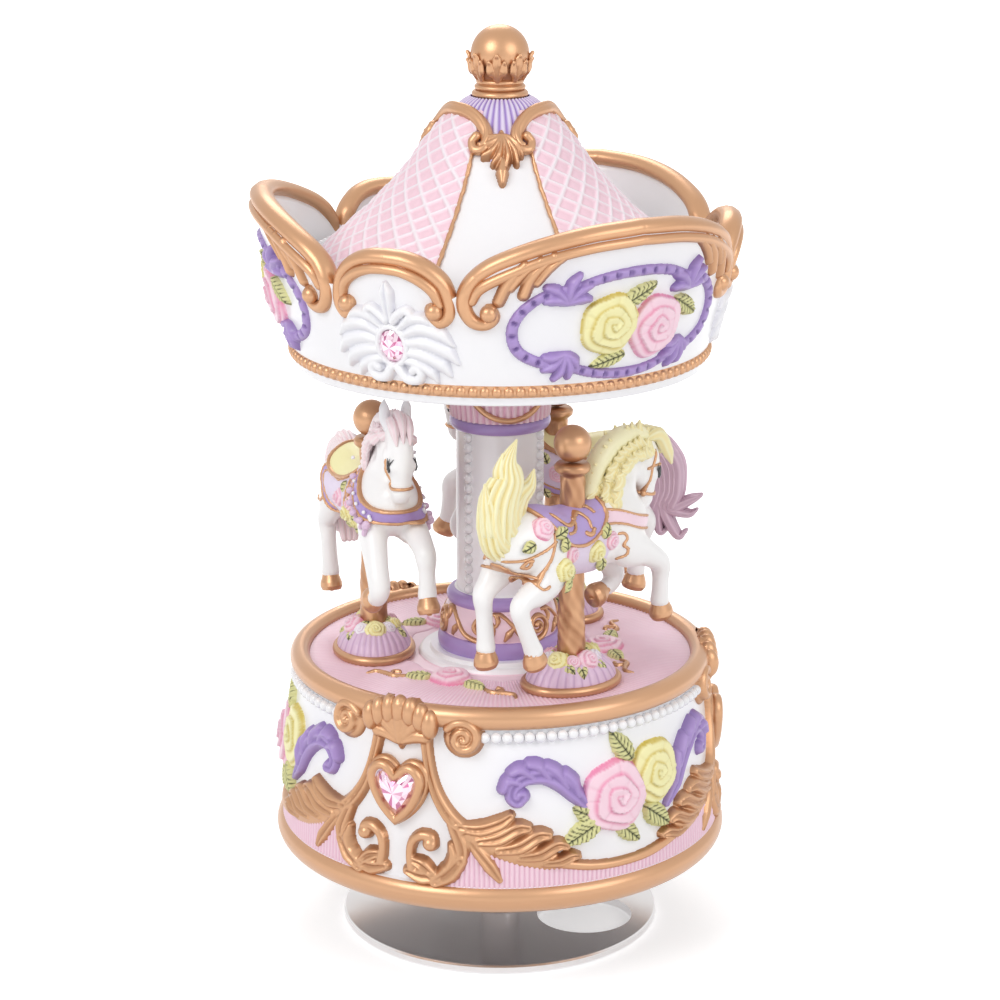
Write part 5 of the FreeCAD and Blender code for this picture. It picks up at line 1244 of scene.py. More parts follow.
def horse_form(right_leads, knee_drop):
    """The bare horse, facing +X, about its pole and its middle. The legs match the casting's."""
    form = Form((-26, -11, -25), (30, 11, 24))
    form.chain([(-19.8, 0, 2.0, 2.6, 2.6), (-18.0, 0, 2.2, 5.2, 4.9), (-13.5, 0, 2.2, 6.9, 6.2),
                (-6, 0, 0.6, 6.6, 6.2), (3.5, 0, -0.3, 7.1, 6.2), (11, 0, 0.6, 7.3, 6.0),
                (15.4, 0, 1.2, 5.6, 5.0), (17.2, 0, 1.8, 3.2, 3.0)])
    form.chain([(10.0, 0, 1.8, 6.8, 4.6), (12.6, 0, 6.4, 5.3, 3.8), (15.0, 0, 10.8, 4.3, 3.1),
                (18.4, 0, 14.6, 3.4, 2.6), (21.4, 0, 15.6, 2.6, 2.1)], 2.4)
    form.chain([(21.8, 0, 15.8, 1.9, 1.7), (22.9, 0, 13.6, 2.9, 2.5), (23.1, 0, 10.2, 3.1, 2.6),
                (22.9, 0, 6.8, 2.35, 2.1), (22.5, 0, 4.2, 2.0, 2.05), (22.1, 0, 3.2, 1.7, 1.8)], 1.2)
    form.chain([(20.4, 0, 11.0, 2.9, 2.85), (21.2, 0, 9.2, 2.6, 2.7)], 1.0)
    form.chain([(20.9, 0, 3.9, 1.15, 1.3), (21.4, 0, 2.9, 1.2, 1.5)], 0.8)
    for side in (1, -1):
        form.chain([(24.2, side * 1.9, 9.3, 1.0, 0.9), (23.5, side * 2.1, 8.9, 0.9, 0.8)], 0.9)
    front = 1 if right_leads else -1
    legs = [
        [(11.0, -3.4, 0.0, 4.6, 3.0), (12.8, -3.8, -3.4, 4.6, 3.2), (17.2, -4.2, -5.6, 3.0, 2.6),
         (21.2, -4.4, -8.0, 2.35, 2.25), (22.9, -4.4, -9.8, 2.25, 2.15), (23.1, -4.4, -12.4, 1.75, 1.75),
         (23.0, -4.4, -15.6, 1.75, 1.8), (22.9, -4.4, -17.4, 1.95, 1.95)],
        [(11.5, 3.4, -1.0, 4.6, 3.0), (13.2, 3.8, -5.0, 3.9, 2.9),
         (16.4, 4.2, -9.0 - knee_drop * 0.6, 2.7, 2.4), (18.4, 4.3, -12.2 - knee_drop, 2.3, 2.2),
         (17.2, 4.3, -14.4 - knee_drop, 1.85, 1.85), (15.2, 4.3, -15.0 - knee_drop, 1.7, 1.7)],
        [(-11.0, -3.2, 1.6, 5.6, 3.6), (-11.6, -4.0, -3.4, 4.7, 3.3), (-14.6, -4.3, -6.2, 3.4, 2.8),
         (-18.6, -4.4, -7.4, 2.4, 2.2), (-20.6, -4.4, -9.0, 2.1, 2.0), (-19.6, -4.4, -12.4, 1.7, 1.7),
         (-17.6, -4.4, -16.6, 1.75, 1.75), (-16.6, -4.4, -18.6, 1.95, 1.95)],
        [(-14.0, 3.2, 1.6, 5.2, 3.6), (-16.4, 4.0, -2.4, 4.2, 3.1), (-19.6, 4.3, -5.6, 2.7, 2.4),
         (-21.6, 4.4, -7.8, 2.2, 2.1), (-21.4, 4.4, -11.4, 1.7, 1.7), (-21.0, 4.4, -16.6, 1.75, 1.75),
         (-20.9, 4.4, -18.8, 1.95, 1.95)]]
    for leg in legs:
        form.chain([(x, front * y, z, depth, width) for x, y, z, depth, width in leg])
    form.dent(24.0, 1.75, 4.2, 0.42)
    form.dent(13.6, 3.6, 11.2, 1.2, 2.0)
    return form


def hooves(right_leads, knee_drop):
    """Four gold hooves, short and flared, rounded at the toe."""
    front = 1 if right_leads else -1
    shod = Soup()
    for x, y, z, dx, dz in ((23.0, -4.4, -17.9, 0.7, -3.3), (-16.7, -4.4, -19.0, 1.0, -3.1),
                            (-21.0, 4.4, -19.6, 0.3, -3.3), (14.9, 4.3, -15.0 - knee_drop, -3.5, -1.2)):
        line = smooth([(x, front * y, z), (x + dx * 0.45, front * y, z + dz * 0.5),
                       (x + dx, front * y, z + dz)])
        ahead = (1, 0, 0) if abs(dz) > abs(dx) else (0, 0, 1)
        shod.add(*sweep(line, [1.75, 2.0, 2.3, 2.35, 2.0], [1.9, 2.3, 2.6, 2.75, 2.3], ahead, sides=18,
                        round_ends=False))
        shod.add(*ball(line[0], (1.86, 1.86, 1.1)))
        shod.add(*ball(line[-1], (0.8, 0.6, 0.3)))
    return shod


def lock(points, width, depth, facing=(0, 1, 0), strands=3, sides=18):
    """One tapered lock of hair, fluted along its length, with painted shade in the flutes."""
    share = 0.5 + 0.5 * np.cos(strands * 2 * np.linspace(0, 2 * math.pi, sides, endpoint=False))
    points, faces = sweep(smooth(points, per_span=8), width, depth, facing, sides=sides,
                          fold=lambda a: 1 + 0.10 * math.cos(strands * 2 * a))
    # painted shade in the flutes
    return points, faces, np.tile(0.75 * (1 - share) ** 2, len(points) // sides)


def tapered(size):
    """Half-widths that swell from a lock's root and close to its tip."""
    return [0.4 * size, 0.9 * size, size, 0.8 * size, 0.22 * size]


def mane(hair, crest, reach, lean, count, seed, forelock=True):
    """Flame-like locks that stand off the crest of the neck and spill down both of its sides."""
    random = np.random.default_rng(seed)
    line = smooth(crest, per_span=12)
    hair.add(*sweep(line - [0, 0, 0.9], [1.4, 2.0, 2.3, 2.3, 2.0, 1.4], [1.3, 2.2, 2.5, 2.5, 2.2, 1.4],
                    (0, 1, 0), sides=14))
    ahead = unit(np.gradient(line, axis=0))
    up = np.stack([-ahead[:, 2], 0 * ahead[:, 1], ahead[:, 0]], axis=-1)
    for k in range(count):
        at = int((k + 0.5) / count * (len(line) - 1))
        for row, (y, rise) in enumerate(((-2.9, -1.1), (-2.0, -0.3), (-0.8, 0.6), (0.8, 0.6), (2.0, -0.3),
                                         (2.9, -1.1))):
            swing = random.uniform(-0.25, 0.25)
            length = reach * random.uniform(0.85, 1.25)
            here = min(max(at + (row % 2) * 4 - 2, 0), len(line) - 1)
            root = line[here] - (1.6 - 1.0 * rise) * up[here] + [0, 0.85 * y, 0]
            tip = length * (up[here] * (0.05 + 0.50 * rise) - ahead[here] * (lean + swing))
            tip = tip + [0, 0.16 * y * length, 0]
            bend = -0.28 * length * up[here] * (1 + swing)
            points = [root, root + 0.4 * tip + bend + [0, 0.25 * y, 0],
                      root + 0.8 * tip + 0.6 * bend + [0, 0.1 * y, 0],
                      root + 1.08 * tip + 0.15 * length * up[here]]
            hair.add(*lock(points, tapered(random.uniform(1.0, 1.3)), tapered(random.uniform(0.8, 1.0))))
    if forelock:
        for y, dx, dz in ((-1.6, 0.0, -1.4), (-0.5, 1.8, 1.2), (0.8, 1.0, 0.2), (1.8, -0.4, -2.0),
                          (0.2, 1.6, 0.6)):
            points = [(21.0, y, 16.8), (24.4, y * 1.4, 17.2), (26.8 + dx * 0.5, y * 1.6, 14.4 + dz * 0.5),
                      (28.8 + dx * 0.5, y * 1.4, 11.8 + dz)]
            hair.add(*lock(points, tapered(1.6), tapered(1.2)))


def raised_tail(hair):
    """A tail that sweeps back and up like a flame: one broad fluted blade with two smaller tips."""
    blade = [(-13, 0, 6.5), (-18, 0, 3.2), (-22.0, 0, 3.4), (-22.6, 0, 7.6), (-21.8, 0, 12.0),
             (-19.4, 0, 16.0), (-19.2, 0, 19.8), (-16.8, 0, 23.6)]
    second = [(-18.0, 0.2, 8.2), (-16.0, 0.4, 11.6), (-12.9, 0.2, 13.6), (-11.6, 0, 16.6)]
    third = [(-24.6, -0.3, 7.4), (-25.7, -0.4, 12.4), (-26.2, -0.2, 16.6)]
    fourth = [(-20.6, 0.2, 15.4), (-21.4, 0.2, 18.4), (-20.8, 0, 21.6)]
    hair.add(*lock(blade, [1.2, 2.1, 3.0, 4.4, 4.9, 4.0, 2.2, 0.25], [1.6, 2.2, 2.6, 2.9, 2.7, 2.1, 1.2, 0.2],
                   strands=7, sides=84))
    hair.add(*lock(second, [2.6, 2.6, 1.7, 0.25], [2.2, 1.9, 1.2, 0.2], strands=4, sides=40))
    hair.add(*lock(third, [2.2, 1.7, 0.25], [2.0, 1.3, 0.2], strands=4, sides=40))
    hair.add(*lock(fourth, [1.8, 1.5, 0.25], [1.6, 1.2, 0.2], strands=3, sides=36))
    for y in (-1, 1):
        for points, size in (([(-16, 1.5, 5.6), (-21, 2.3, 3.0), (-24.4, 2.0, 6.6), (-24.6, 1.7, 11.4),
                               (-22.0, 1.0, 15.4)], 1.3),
                             ([(-15, 1.3, 6.6), (-19, 2.3, 5.0), (-21.4, 2.2, 8.6), (-20.6, 1.8, 12.6),
                               (-17.6, 0.9, 16.6)], 1.3),
                             ([(-16, 1.2, 7.0), (-18.6, 1.8, 7.0), (-18.8, 1.7, 10.2),
                               (-15.0, 0.9, 12.8)], 1.1)):
            hair.add(*lock([(px, y * py, pz) for px, py, pz in points], tapered(size), tapered(0.8)))


def falling_tail(hair):
    """A long tail that arches from the rump and falls in waves, its tips flicked out."""
    body = [(-13.6, 0, 5.0), (-17.0, 0, 8.4), (-21.2, 0, 8.8), (-24.6, 0, 5.0), (-25.4, 0, -0.4),
            (-25.0, 0, -5.2), (-26.8, 0, -9.6)]
    hair.add(*lock(body, [1.2, 1.9, 2.5, 2.9, 3.0, 2.5, 0.5], [1.4, 2.0, 2.3, 2.4, 2.2, 1.7, 0.4], strands=6,
                   sides=72))
    tips = ((-31.5, -1.8, 1.5), (-31.0, -5.2, 1.3), (-29.4, -10.2, 1.5), (-25.6, -10.0, 1.4),
            (-21.6, -11.6, 1.2))
    for k, (tip_x, tip_z, width) in enumerate(tips):
        inward = k / (len(tips) - 1)
        for y in (-1.5, 0.0, 1.5):
            rise = 9.8 - 2.2 * inward - 0.3 * abs(y)
            back = -26.4 + 4.0 * inward
            points = [(-13.6, 0.5 * y, 5.0), (-16.6, 0.8 * y, rise - 1.4), (-20.4 + inward, y, rise),
                      (back + 0.8, 1.2 * y, rise - 3.6), (back - 0.4, 1.3 * y, -0.6),
                      (back + 0.2, 1.1 * y, -4.6), (tip_x + 1.2, 0.8 * y, tip_z - 0.4),
                      (tip_x - 0.6, 0.6 * y, tip_z + 0.7)]
            hair.add(*lock(points, tapered(width), tapered(1.25)))


def blossom(radius, height=1.6):
    """A small rose on a flat patch: x and y across it, z out of it."""
    patch = Relief(lambda x, z, rise: np.stack([x, z, rise - 0.09 * (x * x + z * z)], axis=-1),
                   (-1.25 * radius, 1.25 * radius), (-1.25 * radius, 1.25 * radius), 1.0, radius / 17)
    patch.rose(0.0, 0.0, radius, height)
    return patch.soup()


def spray(length, half_width):
    """A small leaf on a flat patch, from the middle towards +x."""
    patch = Relief(lambda x, z, rise: np.stack([x, z, rise + 0.28 * np.abs(x) - 0.06 * x * x], axis=-1),
                   (-0.4, length + 0.4), (-half_width - 0.3, half_width + 0.3), 1.0, 0.11)
    patch.leaf((0.0, 0.0), (length, 0.0), half_width, 0.7)
    return patch.soup()


def planted(soup, target, at, out, turn):
    """Adds a flat patch's mesh at a point, facing out, turned about that direction."""
    out = unit(np.asarray(out, float))
    side = unit(np.cross([0.0, 0.0, 1.0], out)) if abs(out[2]) < 0.95 else np.array([1.0, 0.0, 0.0])
    up = np.cross(out, side)
    a = math.radians(turn)
    across, along_it = side * math.cos(a) + up * math.sin(a), up * math.cos(a) - side * math.sin(a)
    for points, faces, painted_shade_and_accent in zip(soup.points, soup.faces, soup.painted_shade_and_accent):
        moved = at + points[:, :1] * across + points[:, 1:2] * along_it + points[:, 2:] * out
        target.add(moved, faces, painted_shade_and_accent)


def on_horse(points, name):
    """Points about a horse's middle, carried to its place on the deck."""
    azimuth, nose_up, rise, *_ = HORSES[name]
    a = math.radians(nose_up)
    x, y, z = np.asarray(points, float).T
    x, z = x * math.cos(a) - z * math.sin(a), x * math.sin(a) + z * math.cos(a) + rise
    level_points = spun(np.stack([x, y, z], axis=-1), HORSE_TURN)
    return spun(level_points + [0, -POLE_CIRCLE, DECK + HORSE_HEIGHT], azimuth)


def cast(soup, horse, name, look, replaces=()):
    soup.moved(lambda points: on_horse(points, horse)).build(f"{horse}_{name}", look, replaces=replaces)


def bore(form, horse):
    """Clears the horse for its pole, which stays upright however the horse is pitched."""
    shaft_bore, ball_bore, ball_foot = 2.62, 4.0, 45.0
    x, y, z = np.meshgrid(*form.axes, indexing="ij")
    place = on_horse(np.stack([x.ravel(), y.ravel(), z.ravel()], axis=-1), horse)
    away = np.hypot(*(spun(place, -HORSES[horse][0]) + [0, POLE_CIRCLE, 0])[:, :2].T).reshape(form.size)
    height = place[:, 2].reshape(form.size) - DECK
    radius = np.where(height > ball_foot, ball_bore, shaft_bore)
    form.field = np.maximum(form.field, radius - away)


def eyes(form, horse):
    """Black almond eyes with three lashes each."""
    black = Soup()
    for side in (1, -1):
        at, out = form.skin(24.1, 9.0, side)
        black.add(*ball(at - 0.15 * out, (0.55, 0.35, 0.85)))
        for k in range(3):
            point, out_here = form.skin(24.5 - 0.45 * k, 9.9 + 0.1 * k, side)
            tip, _ = form.skin(25.2 - 0.75 * k, 10.9 + 0.1 * k, side)
            black.add(*sweep([at + 0.1 * out, point + 0.12 * out_here, tip + 0.2 * out_here],
                             [0.22, 0.18, 0.05]))
    cast(black, horse, "eyes", "black")


def bridle(form, gold, browband):
    """Noseband and cheek pieces, and perhaps a browband, each a thin gold strap round the head."""
    straps = [([(19.8, 5.7), (22.0, 5.0), (24.6, 4.7), (27.5, 4.7)], 0.34),
              ([(20.9, 5.3), (21.3, 8.0), (21.9, 10.6)], 0.30)]
    if browband:
        straps += [([(21.9, 10.6), (22.9, 12.4), (23.2, 14.2)], 0.30),
                   ([(20.4, 10.9), (24.0, 11.0), (27.4, 10.4)], 0.30)]
    for points, half_width in straps:
        gold.add(*form.layer(near_line(points, half_width), 0.42))
    for side in (1, -1):
        at, out = form.skin(20.9, 5.3, side)
        gold.add(*ball(at + 0.2 * out, 0.7))


def shaded(form, points):
    """How far each point lies in a hollow, from the field a little way off the surface: how much painted
    shade it gets.
    """
    cells = np.round((points - form.low) / form.pitch).astype(int)
    cells = np.clip(cells, 2, form.size - 3)
    ahead = np.round((points + 1.5 * form.slope(*cells.T) - form.low) / form.pitch).astype(int)
    i, j, k = np.clip(ahead, 0, form.size - 1).T
    return 0.6 * np.clip((1.2 - form.field[i, j, k]) / 1.2, 0, 1)


def bare_horse(horse):
    """Casts a horse's body in place of the CAD's. The form is for the tack to lie on."""
    form = horse_form(*HORSES[horse][3:])
    bore(form, horse)
    points, quads = form.mesh()
    cast(Soup().add(points, quads, shaded(form, points)), horse, "body", "horse_white",
         replaces=["horse_" + horse])
    return form


def cloths(form, horse, *pieces):
    """Layers over a horse: (name, measure, thickness, paint)."""
    for name, measure, thickness, key in pieces:
        cast(Soup().add(*form.layer(measure, thickness)), horse, name, key)


def gold_work(form, horse, edges, lines, browband=False):
    """A horse's gold lines, bridle and hooves. An edge, which is closed, or a line is (points, half width,
    thickness)."""
    gold = Soup()
    for strokes, closed in ((edges, True), (lines, False)):
        for points, half_width, thickness in strokes:
            gold.add(*form.layer(near_line(points, half_width, closed), thickness))
    bridle(form, gold, browband)
    cast(gold, horse, "gold_tack", "gold")
    cast(hooves(*HORSES[horse][3:]), horse, "hooves", "gold")


def garland(form, horse, leaf, sunk, flowers, leaves):
    """Roses and leaves on both flanks. A flower is (piece, blossom, x, z) and a leaf (x, z, turn)."""
    pieces = {"pink_roses": Soup(), "yellow_roses": Soup(), "leaves": Soup()}
    for side in (1, -1):
        for piece, flower, x, z in flowers:
            at, out = form.skin(x, z, side)
            planted(flower, pieces[piece], at - sunk * out, out, 40 * x)
        for x, z, turn in leaves:
            at, out = form.skin(x, z, side)
            planted(leaf, pieces["leaves"], at + 0.1 * out, out, turn if side < 0 else 180 - turn)
    for (piece, made), key in zip(pieces.items(), ("rose", "yellow", "leaf")):
        cast(made, horse, piece, key)


def yellow_horse():
    """The horse in front: yellow hair, a violet saddle and a chain of roses round its flank."""
    horse = "yellow"
    form = bare_horse(horse)
    saddle = [(-14.4, 11.0), (-12.6, 6.6), (-9.6, 2.8), (-6.4, 1.2), (-3.0, 0.8), (0.6, 1.8), (3.2, 3.4),
              (5.0, 5.4), (5.2, 8.4), (4.4, 11.5), (-5.0, 13.5)]
    girth = [(-5.6, 3.0), (3.6, 3.0), (4.4, -3.0), (2.6, -9.5), (-5.0, -9.5), (-6.6, -3.0)]
    strap = [(3.6, 4.6), (8.5, 3.8), (13.6, 1.9), (18.6, 0.4)]
    cloths(form, horse, ("saddle", within(saddle), 0.6, "violet_cloth"),
           ("girth", within(girth), 0.32, "lilac"), ("breast_strap", near_line(strap, 1.25), 0.36, "pink"))
    gold_work(form, horse, [(saddle, 0.36, 0.95)], [
        *[([(x, z + dz) for x, z in strap], 0.26, 0.62) for dz in (1.3, -1.3)],
        ([(-12.5, 4.9), (-13.1, 2.3), (-14.1, -0.2), (-16.4, -3.7), (-17.4, -4.4), (-16.2, -5.6),
          (-14.8, -5.2)],
         0.30, 0.45),
        ([(-12.5, 3.4), (-15.3, 2.0), (-19.3, 0.8), (-22.6, 0.6)], 0.30, 0.45),
        ([(-22.9, -0.4), (-20.9, -2.0), (-18.7, -2.8), (-16.6, -3.4)], 0.30, 0.45),
        ([(-17.8, 0.4), (-18.9, 0.4), (-19.6, -0.8), (-18.4, -1.2), (-18.0, -0.4)], 0.32, 0.5),
        ([(7.2, 0.6), (8.8, 0.4), (9.6, -0.8), (8.6, -2.0), (9.8, -3.0), (9.6, -4.4), (8.0, -5.0)],
         0.32, 0.45),
        ([(-11.2, 8.2), (-9.6, 6.6), (-7.8, 5.6), (-5.6, 5.6), (-3.9, 6.4), (-2.2, 6.6), (-0.9, 5.2),
          (-1.0, 3.8)],
         0.36, 1.0),
        ([(-8.6, 4.2), (-7.0, 4.0), (-5.4, 4.8), (-5.0, 6.2)], 0.32, 1.0),
        ([(-2.8, 3.0), (-1.4, 2.4), (-0.2, 3.2)], 0.50, 0.95),
        ([(-0.6, 7.4), (1.0, 7.2), (1.9, 6.0)], 0.40, 1.0)], browband=True)

    hair = Soup()
    mane(hair, [(4.6, 0, 8.0), (5.6, 0, 11.6), (8.0, 0, 15.4), (12.2, 0, 18.2), (17.2, 0, 19.0),
                (21.8, 0, 17.8), (24.6, 0, 15.2)],
         3.4, 0.95, 14, 3)
    raised_tail(hair)
    cast(hair, horse, "hair", "yellow_hair")
    eyes(form, horse)

    small, large = blossom(2.0, 1.7), blossom(2.5, 2.1)
    garland(form, horse, spray(3.4, 1.3), 0.2,
            [("pink_roses", large, -14.6, 6.3), ("pink_roses", small, -7.7, -0.3),
             ("yellow_roses", large, -10.4, -2.8), ("yellow_roses", large, 0.3, -1.6),
             ("pink_roses", small, 4.9, -0.3)],
            [(-17.4, 3.9, 200), (-10.4, 0.9, 95), (-7.4, -3.2, 300), (-9.0, -4.4, 250), (2.4, 0.6, 70),
             (2.2, -3.2, 280), (-12.6, 4.4, 20)])


def collared_horse(horse, hair_paint, seed):
    """A horse with a ruffled violet collar, a gold-rimmed saddle and a falling tail."""
    form = bare_horse(horse)
    seat = [(-12.6, 11.5), (-12.2, 7.0), (-9.0, 4.6), (-4.0, 4.0), (1.5, 5.0), (4.4, 7.4), (4.4, 12.0),
            (-4.0, 13.0)]
    flap = [(-13.4, 5.4), (-13.6, -1.0), (-11.0, -5.0), (-4.0, -5.6), (2.6, -4.0), (4.4, 1.0), (4.2, 6.0),
            (-4.0, 4.6)]
    inner = [(-11.6, 4.4), (-11.8, -0.4), (-9.8, -3.4), (-4.0, -3.8), (1.2, -2.6), (2.8, 1.0), (2.8, 4.6),
             (-4.0, 3.4)]
    collar = [(7.0, 9.4), (8.6, 5.4), (11.6, 2.0), (15.4, -0.4), (19.0, -1.4), (22.5, -1.8)]
    cloths(form, horse, ("saddle", within(seat), 0.75, "yellow"),
           ("saddle_cloth", within(flap), 0.40, "violet_cloth"),
           ("saddle_panel", within(inner), 0.62, "lilac"), ("collar", near_line(collar, 1.3), 0.75, "violet"))
    gold_work(form, horse, [(seat, 0.40, 1.15), (flap, 0.30, 0.75), (inner, 0.24, 0.85)],
              [([(x + 0.7, z + 1.25) for x, z in collar], 0.36, 1.0),
               ([(x - 0.6, z - 1.25) for x, z in collar], 0.36, 1.0),
               ([(-12.6, 3.0), (-16.4, 2.0), (-20.6, 1.2)], 0.28, 0.45),
               ([(-13.2, -1.0), (-16.6, -2.6), (-20.6, -1.6)], 0.28, 0.45)])

    hair = Soup()
    mane(hair, [(5.2, 0, 8.4), (6.6, 0, 12.0), (9.0, 0, 15.6), (12.8, 0, 18.0), (17.2, 0, 18.6),
                (21.4, 0, 17.4)],
         2.9, 0.75, 12, seed, forelock=False)
    for y, dz in ((-1.2, 0.0), (0.0, 1.2), (1.2, 0.3)):
        hair.add(*lock([(20.0, y, 17.2), (22.4, y * 1.2, 18.2 + dz), (24.8, y * 1.3, 16.6 + dz),
                        (25.6, y * 1.2, 13.8)],
                       tapered(1.2), tapered(1.0)))
    falling_tail(hair)
    cast(hair, horse, "hair", hair_paint)
    eyes(form, horse)

    ears, tassels = Soup(), Soup()
    for side in (1, -1):
        line = smooth([(20.2, side * 1.5, 16.4), (20.4, side * 2.1, 18.8), (20.6, side * 2.3, 21.0),
                       (20.6, side * 2.2, 22.4)])
        ears.add(*sweep(line, [0.9, 1.25, 1.0, 0.25], [0.8, 0.8, 0.6, 0.2], (1, 0, 0)))
        for k in range(9):
            share = k / 8
            x, z = (np.interp(share, np.linspace(0, 1, len(collar)),
                              [p[axis] for p in collar]) for axis in (0, 1))
            x = min(x, 17.0)
            at, out = form.skin(x, z, side)
            ears.add(*ball(at + 0.95 * out, 0.42, rings=6, sides=8))
            low, out_low = form.skin(x - 1.0, z - 1.9, side)
            lower, _ = form.skin(x - 1.2, z - 3.3, side)
            tassels.add(*sweep([low + 0.3 * out_low, lower + 0.35 * out_low], [0.35, 0.5],
                               fold=lambda a: 1 + 0.15 * math.cos(5 * a)))
            tassels.add(*ball(low + 0.9 * out_low, (0.9, 0.9, 0.7)))
    cast(ears, horse, "ears_and_beads", "white")
    cast(tassels, horse, "tassels", "mauve")

    small, large = blossom(1.6), blossom(2.1, 1.9)
    garland(form, horse, spray(2.9, 1.0), 0.0,
            [("pink_roses", large, -1.6, 0.0), ("yellow_roses", large, 3.0, -2.6),
             ("pink_roses", small, 6.4, -0.2), ("yellow_roses", small, 6.8, -3.8)],
            [(0.6, 1.4, 60), (4.6, -0.6, 30), (5.0, -4.6, 300), (1.0, -3.8, 240), (8.0, -1.8, 340)])


# ---------------------------------------------------------------- poles and stands
def at_pole(soup, horse):
    """A copy of something made about a pole, at one horse's pole."""
    return soup.moved(lambda points: spun(points + [0, -POLE_CIRCLE, 0], HORSES[horse][0]))


def poles():
    """Gold poles with a hammered, twisted surface. The shapes are the CAD poles', roughened."""
    low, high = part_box("pole_yellow")
    foot, top = low.z / MM, high.z / MM
    z = np.arange(foot, top - 7.5, 0.22)
    azimuth = np.arange(0, 360, 6.0)
    a, height = np.meshgrid(azimuth, z, indexing="ij")
    stand_top = DECK + 6.8
    radius = np.interp(height, [foot, stand_top, DECK + 22, top - 10.2, top - 9.2, top - 8.3, top - 7.4],
                       [2.9, 2.9, 2.5, 2.5, 3.6, 3.7, 2.9])
    twist = np.radians(a) * 3 + 0.42 * height + 0.9 * np.sin(0.35 * height)
    wave = (0.5 * np.sin(twist) + 0.3 * np.sin(2.3 * twist + 0.9 * height)
            + 0.2 * np.sin(5 * np.radians(a) - 0.7 * height))
    radius = radius + np.where(height < top - 10.4, 0.16 * wave, 0.04 * wave) * (height > stand_top)
    points = np.stack([radius * np.cos(np.radians(a)), radius * np.sin(np.radians(a)), height], axis=-1)
    # painted shade in the hammered grooves, where the surface sinks
    post = Soup().add(points, closed_faces(*height.shape), np.clip(0.30 - 0.45 * wave, 0, 0.6))
    post.add(*ball((0.0, 0.0, top - 3.8), 3.8, rings=20, sides=32))
    for horse in HORSES:
        at_pole(post, horse).build(horse + "_pole", "gold", replaces=["pole_" + horse])


def stands():
    """Pleated mauve domes on gold rims, each with a wreath round the pole's foot."""
    low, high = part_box("stand_yellow")
    half_length, half_width = (high.x - low.x) / 2 / MM, (high.y - low.y) / 2 / MM
    base, top = low.z / MM, high.z / MM
    azimuth = np.arange(0, 360, 1.5)
    share = np.linspace(0, 1, 26)
    a, s = np.meshgrid(azimuth, share, indexing="ij")
    reach = np.interp(s, [0, 0.12, 0.3, 0.55, 0.8, 1.0], [0.90, 0.88, 0.80, 0.64, 0.46, 0.33])
    height = np.interp(s, [0, 0.12, 0.3, 0.55, 0.8, 1.0], [1.4, 2.4, 4.0, 5.6, 6.5, 6.8])
    pleat = np.cos(np.radians(a) * 30 + 1.2 * np.sin(np.radians(a) * 3))
    swell = 1 + 0.008 * pleat * np.sin(np.pi * np.clip(s * 1.1, 0, 1))
    dome = np.stack([half_length * reach * swell * np.cos(np.radians(a)),
                     half_width * reach * swell * np.sin(np.radians(a)), base + height + 0.08 * pleat],
                    axis=-1)
    mauve, gold, pink, yellow, green, white = (Soup() for _ in range(6))
    # painted shade: thin dark lines in the pleats' folds, fading towards the top
    mauve.add(dome, closed_faces(*a.shape),
              0.6 * np.clip(0.5 - 0.5 * pleat, 0, 1) ** 8 * np.clip(1.2 - s, 0, 1))
    ring = np.arange(0, 360, 5.0)
    rim = np.stack([(half_length - 1.05) * np.cos(np.radians(ring)),
                    (half_width - 1.05) * np.sin(np.radians(ring)), base + 1.05 + 0 * ring], axis=-1)
    gold.add(*sweep(rim, 1.05, 1.05, (0, 0, 1), closed=True))
    small, large, leaf = blossom(1.8, 1.5), blossom(2.5, 2.2), spray(3.6, 1.4)
    wreath = ((pink, large), (white, small), (yellow, large), (white, small), (yellow, small), (pink, small),
              (white, small), (yellow, large), (pink, small))
    for k, (target, flower) in enumerate(wreath):
        angle = math.radians(40 * k - 76)
        at = np.array([4.9 * math.cos(angle), 4.3 * math.sin(angle), top - 0.8])
        out = np.array([0.75 * math.cos(angle), 0.75 * math.sin(angle), 0.65])
        planted(flower, target, at, out, 50 * k)
        for turn, reach in ((-26, 0.2), (22, 0.6)):
            lean = angle + math.radians(turn)
            spot = np.array([(4.6 + reach) * math.cos(lean), (4.0 + reach) * math.sin(lean),
                             top - 1.3 - 0.5 * reach])
            planted(leaf, green, spot, (0.55 * math.cos(lean), 0.55 * math.sin(lean), 0.8),
                    -90 + 30 * (k % 3) + (160 if turn > 0 else 0))
    for horse in HORSES:
        for piece, made, key in (("dome", mauve, "mauve"), ("rim", gold, "gold"), ("pink", pink, "rose"),
                                 ("yellow", yellow, "yellow"), ("white", white, "petal"),
                                 ("leaves", green, "leaf")):
            at_pole(made, horse).build(f"{horse}_stand_{piece}", key,
                                       replaces=["stand_" + horse] if made is mauve else ())


# ---------------------------------------------------------------- scene
def background_rays(owner):
    """1 for the rays that see the background: from the camera, off metal and through glass."""
    path = add_node(owner, "ShaderNodeLightPath")
    seen = path.outputs["Is Camera Ray"]
    for kind in ("Is Glossy Ray", "Is Transmission Ray"):
        larger = add_node(owner, "ShaderNodeMath", operation="MAXIMUM")
        link(owner, seen, larger.inputs[0])
        link(owner, path.outputs[kind], larger.inputs[1])
        seen = larger.outputs["Value"]
    return seen


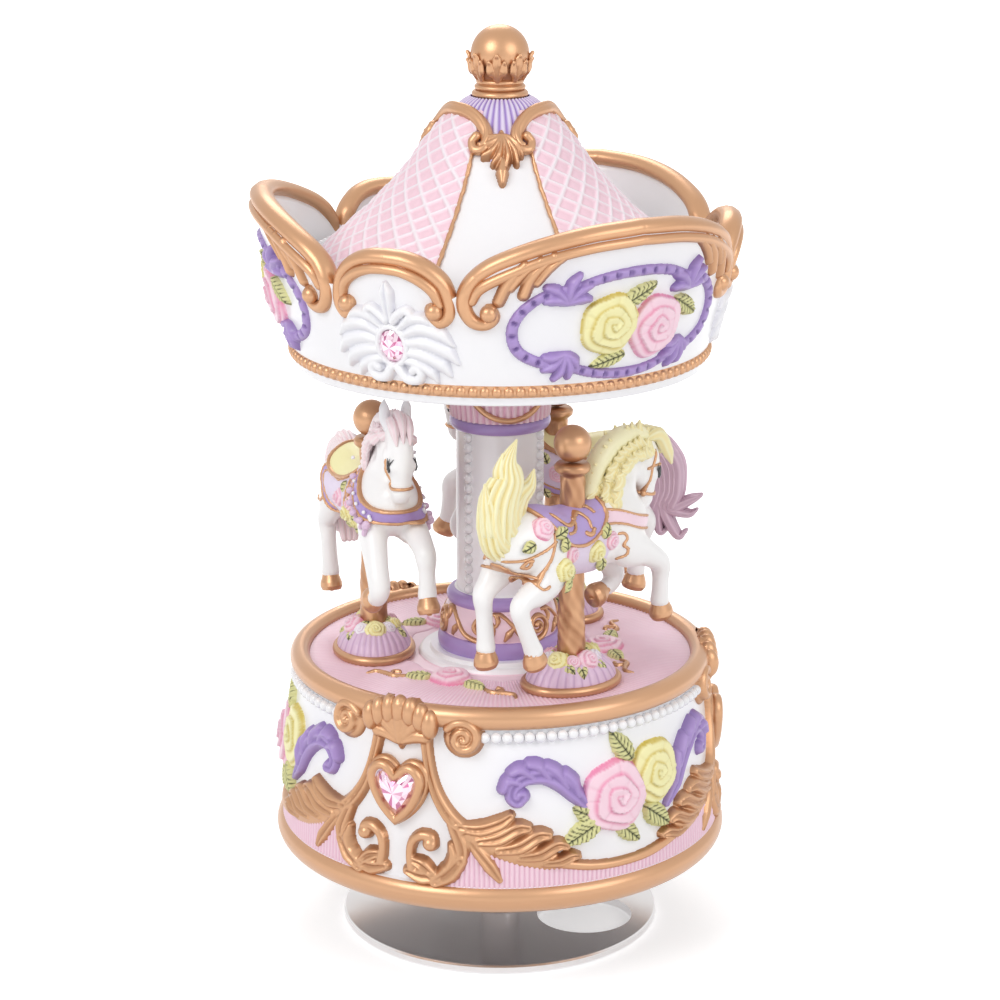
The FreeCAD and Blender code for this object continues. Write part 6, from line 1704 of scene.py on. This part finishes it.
def studio():
    """The camera, a white world, three lamps and a white floor that keeps the shadow."""
    scene = bpy.context.scene
    scene.view_settings.view_transform = "Standard"
    camera = bpy.data.objects.new("camera", bpy.data.cameras.new("camera"))
    camera.data.lens = 105.16
    camera.data.sensor_width = 36.0
    azimuth, distance, height, pitch = -33.0, 584.0, 257.4, 15.84
    camera.location = Vector(on_axis(azimuth, distance, height)) * MM
    camera.rotation_euler = (math.radians(90 - pitch), 0, math.radians(azimuth))
    scene.collection.objects.link(camera)
    scene.camera = camera

    world = bpy.data.worlds.new("studio")
    world.use_nodes = True
    scene.world = world
    background = world.node_tree.nodes["Background"]
    link(world, ranged(world, background_rays(world), 0.56, 1.0), background.inputs["Strength"])
    background.inputs["Color"].default_value = (1, 1, 1, 1)

    lamps = (("key", -75, 620, 560, 420, 2.2), ("fill", 15, 680, 460, 500, 1.5),
             ("back", 150, 600, 620, 400, 1.3))
    for name, azimuth, distance, height, size, power in lamps:
        lamp = bpy.data.objects.new(name, bpy.data.lights.new(name, "AREA"))
        lamp.data.shape = "DISK"
        lamp.data.size = size * MM
        lamp.data.energy = power
        lamp.location = Vector(on_axis(azimuth, distance, height)) * MM
        lamp.rotation_euler = (Vector((0, 0, 0.1)) - lamp.location).to_track_quat("-Z", "Y").to_euler()
        scene.collection.objects.link(lamp)

    bpy.ops.mesh.primitive_plane_add(size=6.0, location=(0, 0, -0.0002))
    floor = bpy.context.object
    floor.name = "floor"
    material, surface = new_material("floor_paper")
    set_inputs(surface, Base_Color=(0.86, 0.86, 0.87, 1), Roughness=0.9, Specular_IOR_Level=0.0,
               Emission_Color=(1, 1, 1, 1))
    place = add_node(material, "ShaderNodeTexCoord")
    away = add_node(material, "ShaderNodeVectorMath", operation="LENGTH")
    link(material, place.outputs["Object"], away.inputs[0])
    glow = add_node(material, "ShaderNodeMath", operation="MULTIPLY")
    link(material, background_rays(material), glow.inputs[0])
    link(material, ranged(material, away.outputs["Value"], 0.45, 1.0, 0.16, 0.55), glow.inputs[1])
    link(material, glow.outputs["Value"], surface.inputs["Emission Strength"])
    floor.data.materials.append(material)


finish_plain_nodes()
drum_reliefs()
drum_pearls()
gems()
crown_wall()
crown_rims()
crown_reliefs()
crown_beads()
roof()
finial()
column()
deck_ornament()
yellow_horse()
collared_horse("mauve", "mauve_hair", 5)
collared_horse("pink", "pink_hair", 8)
poles()
stands()
studio()
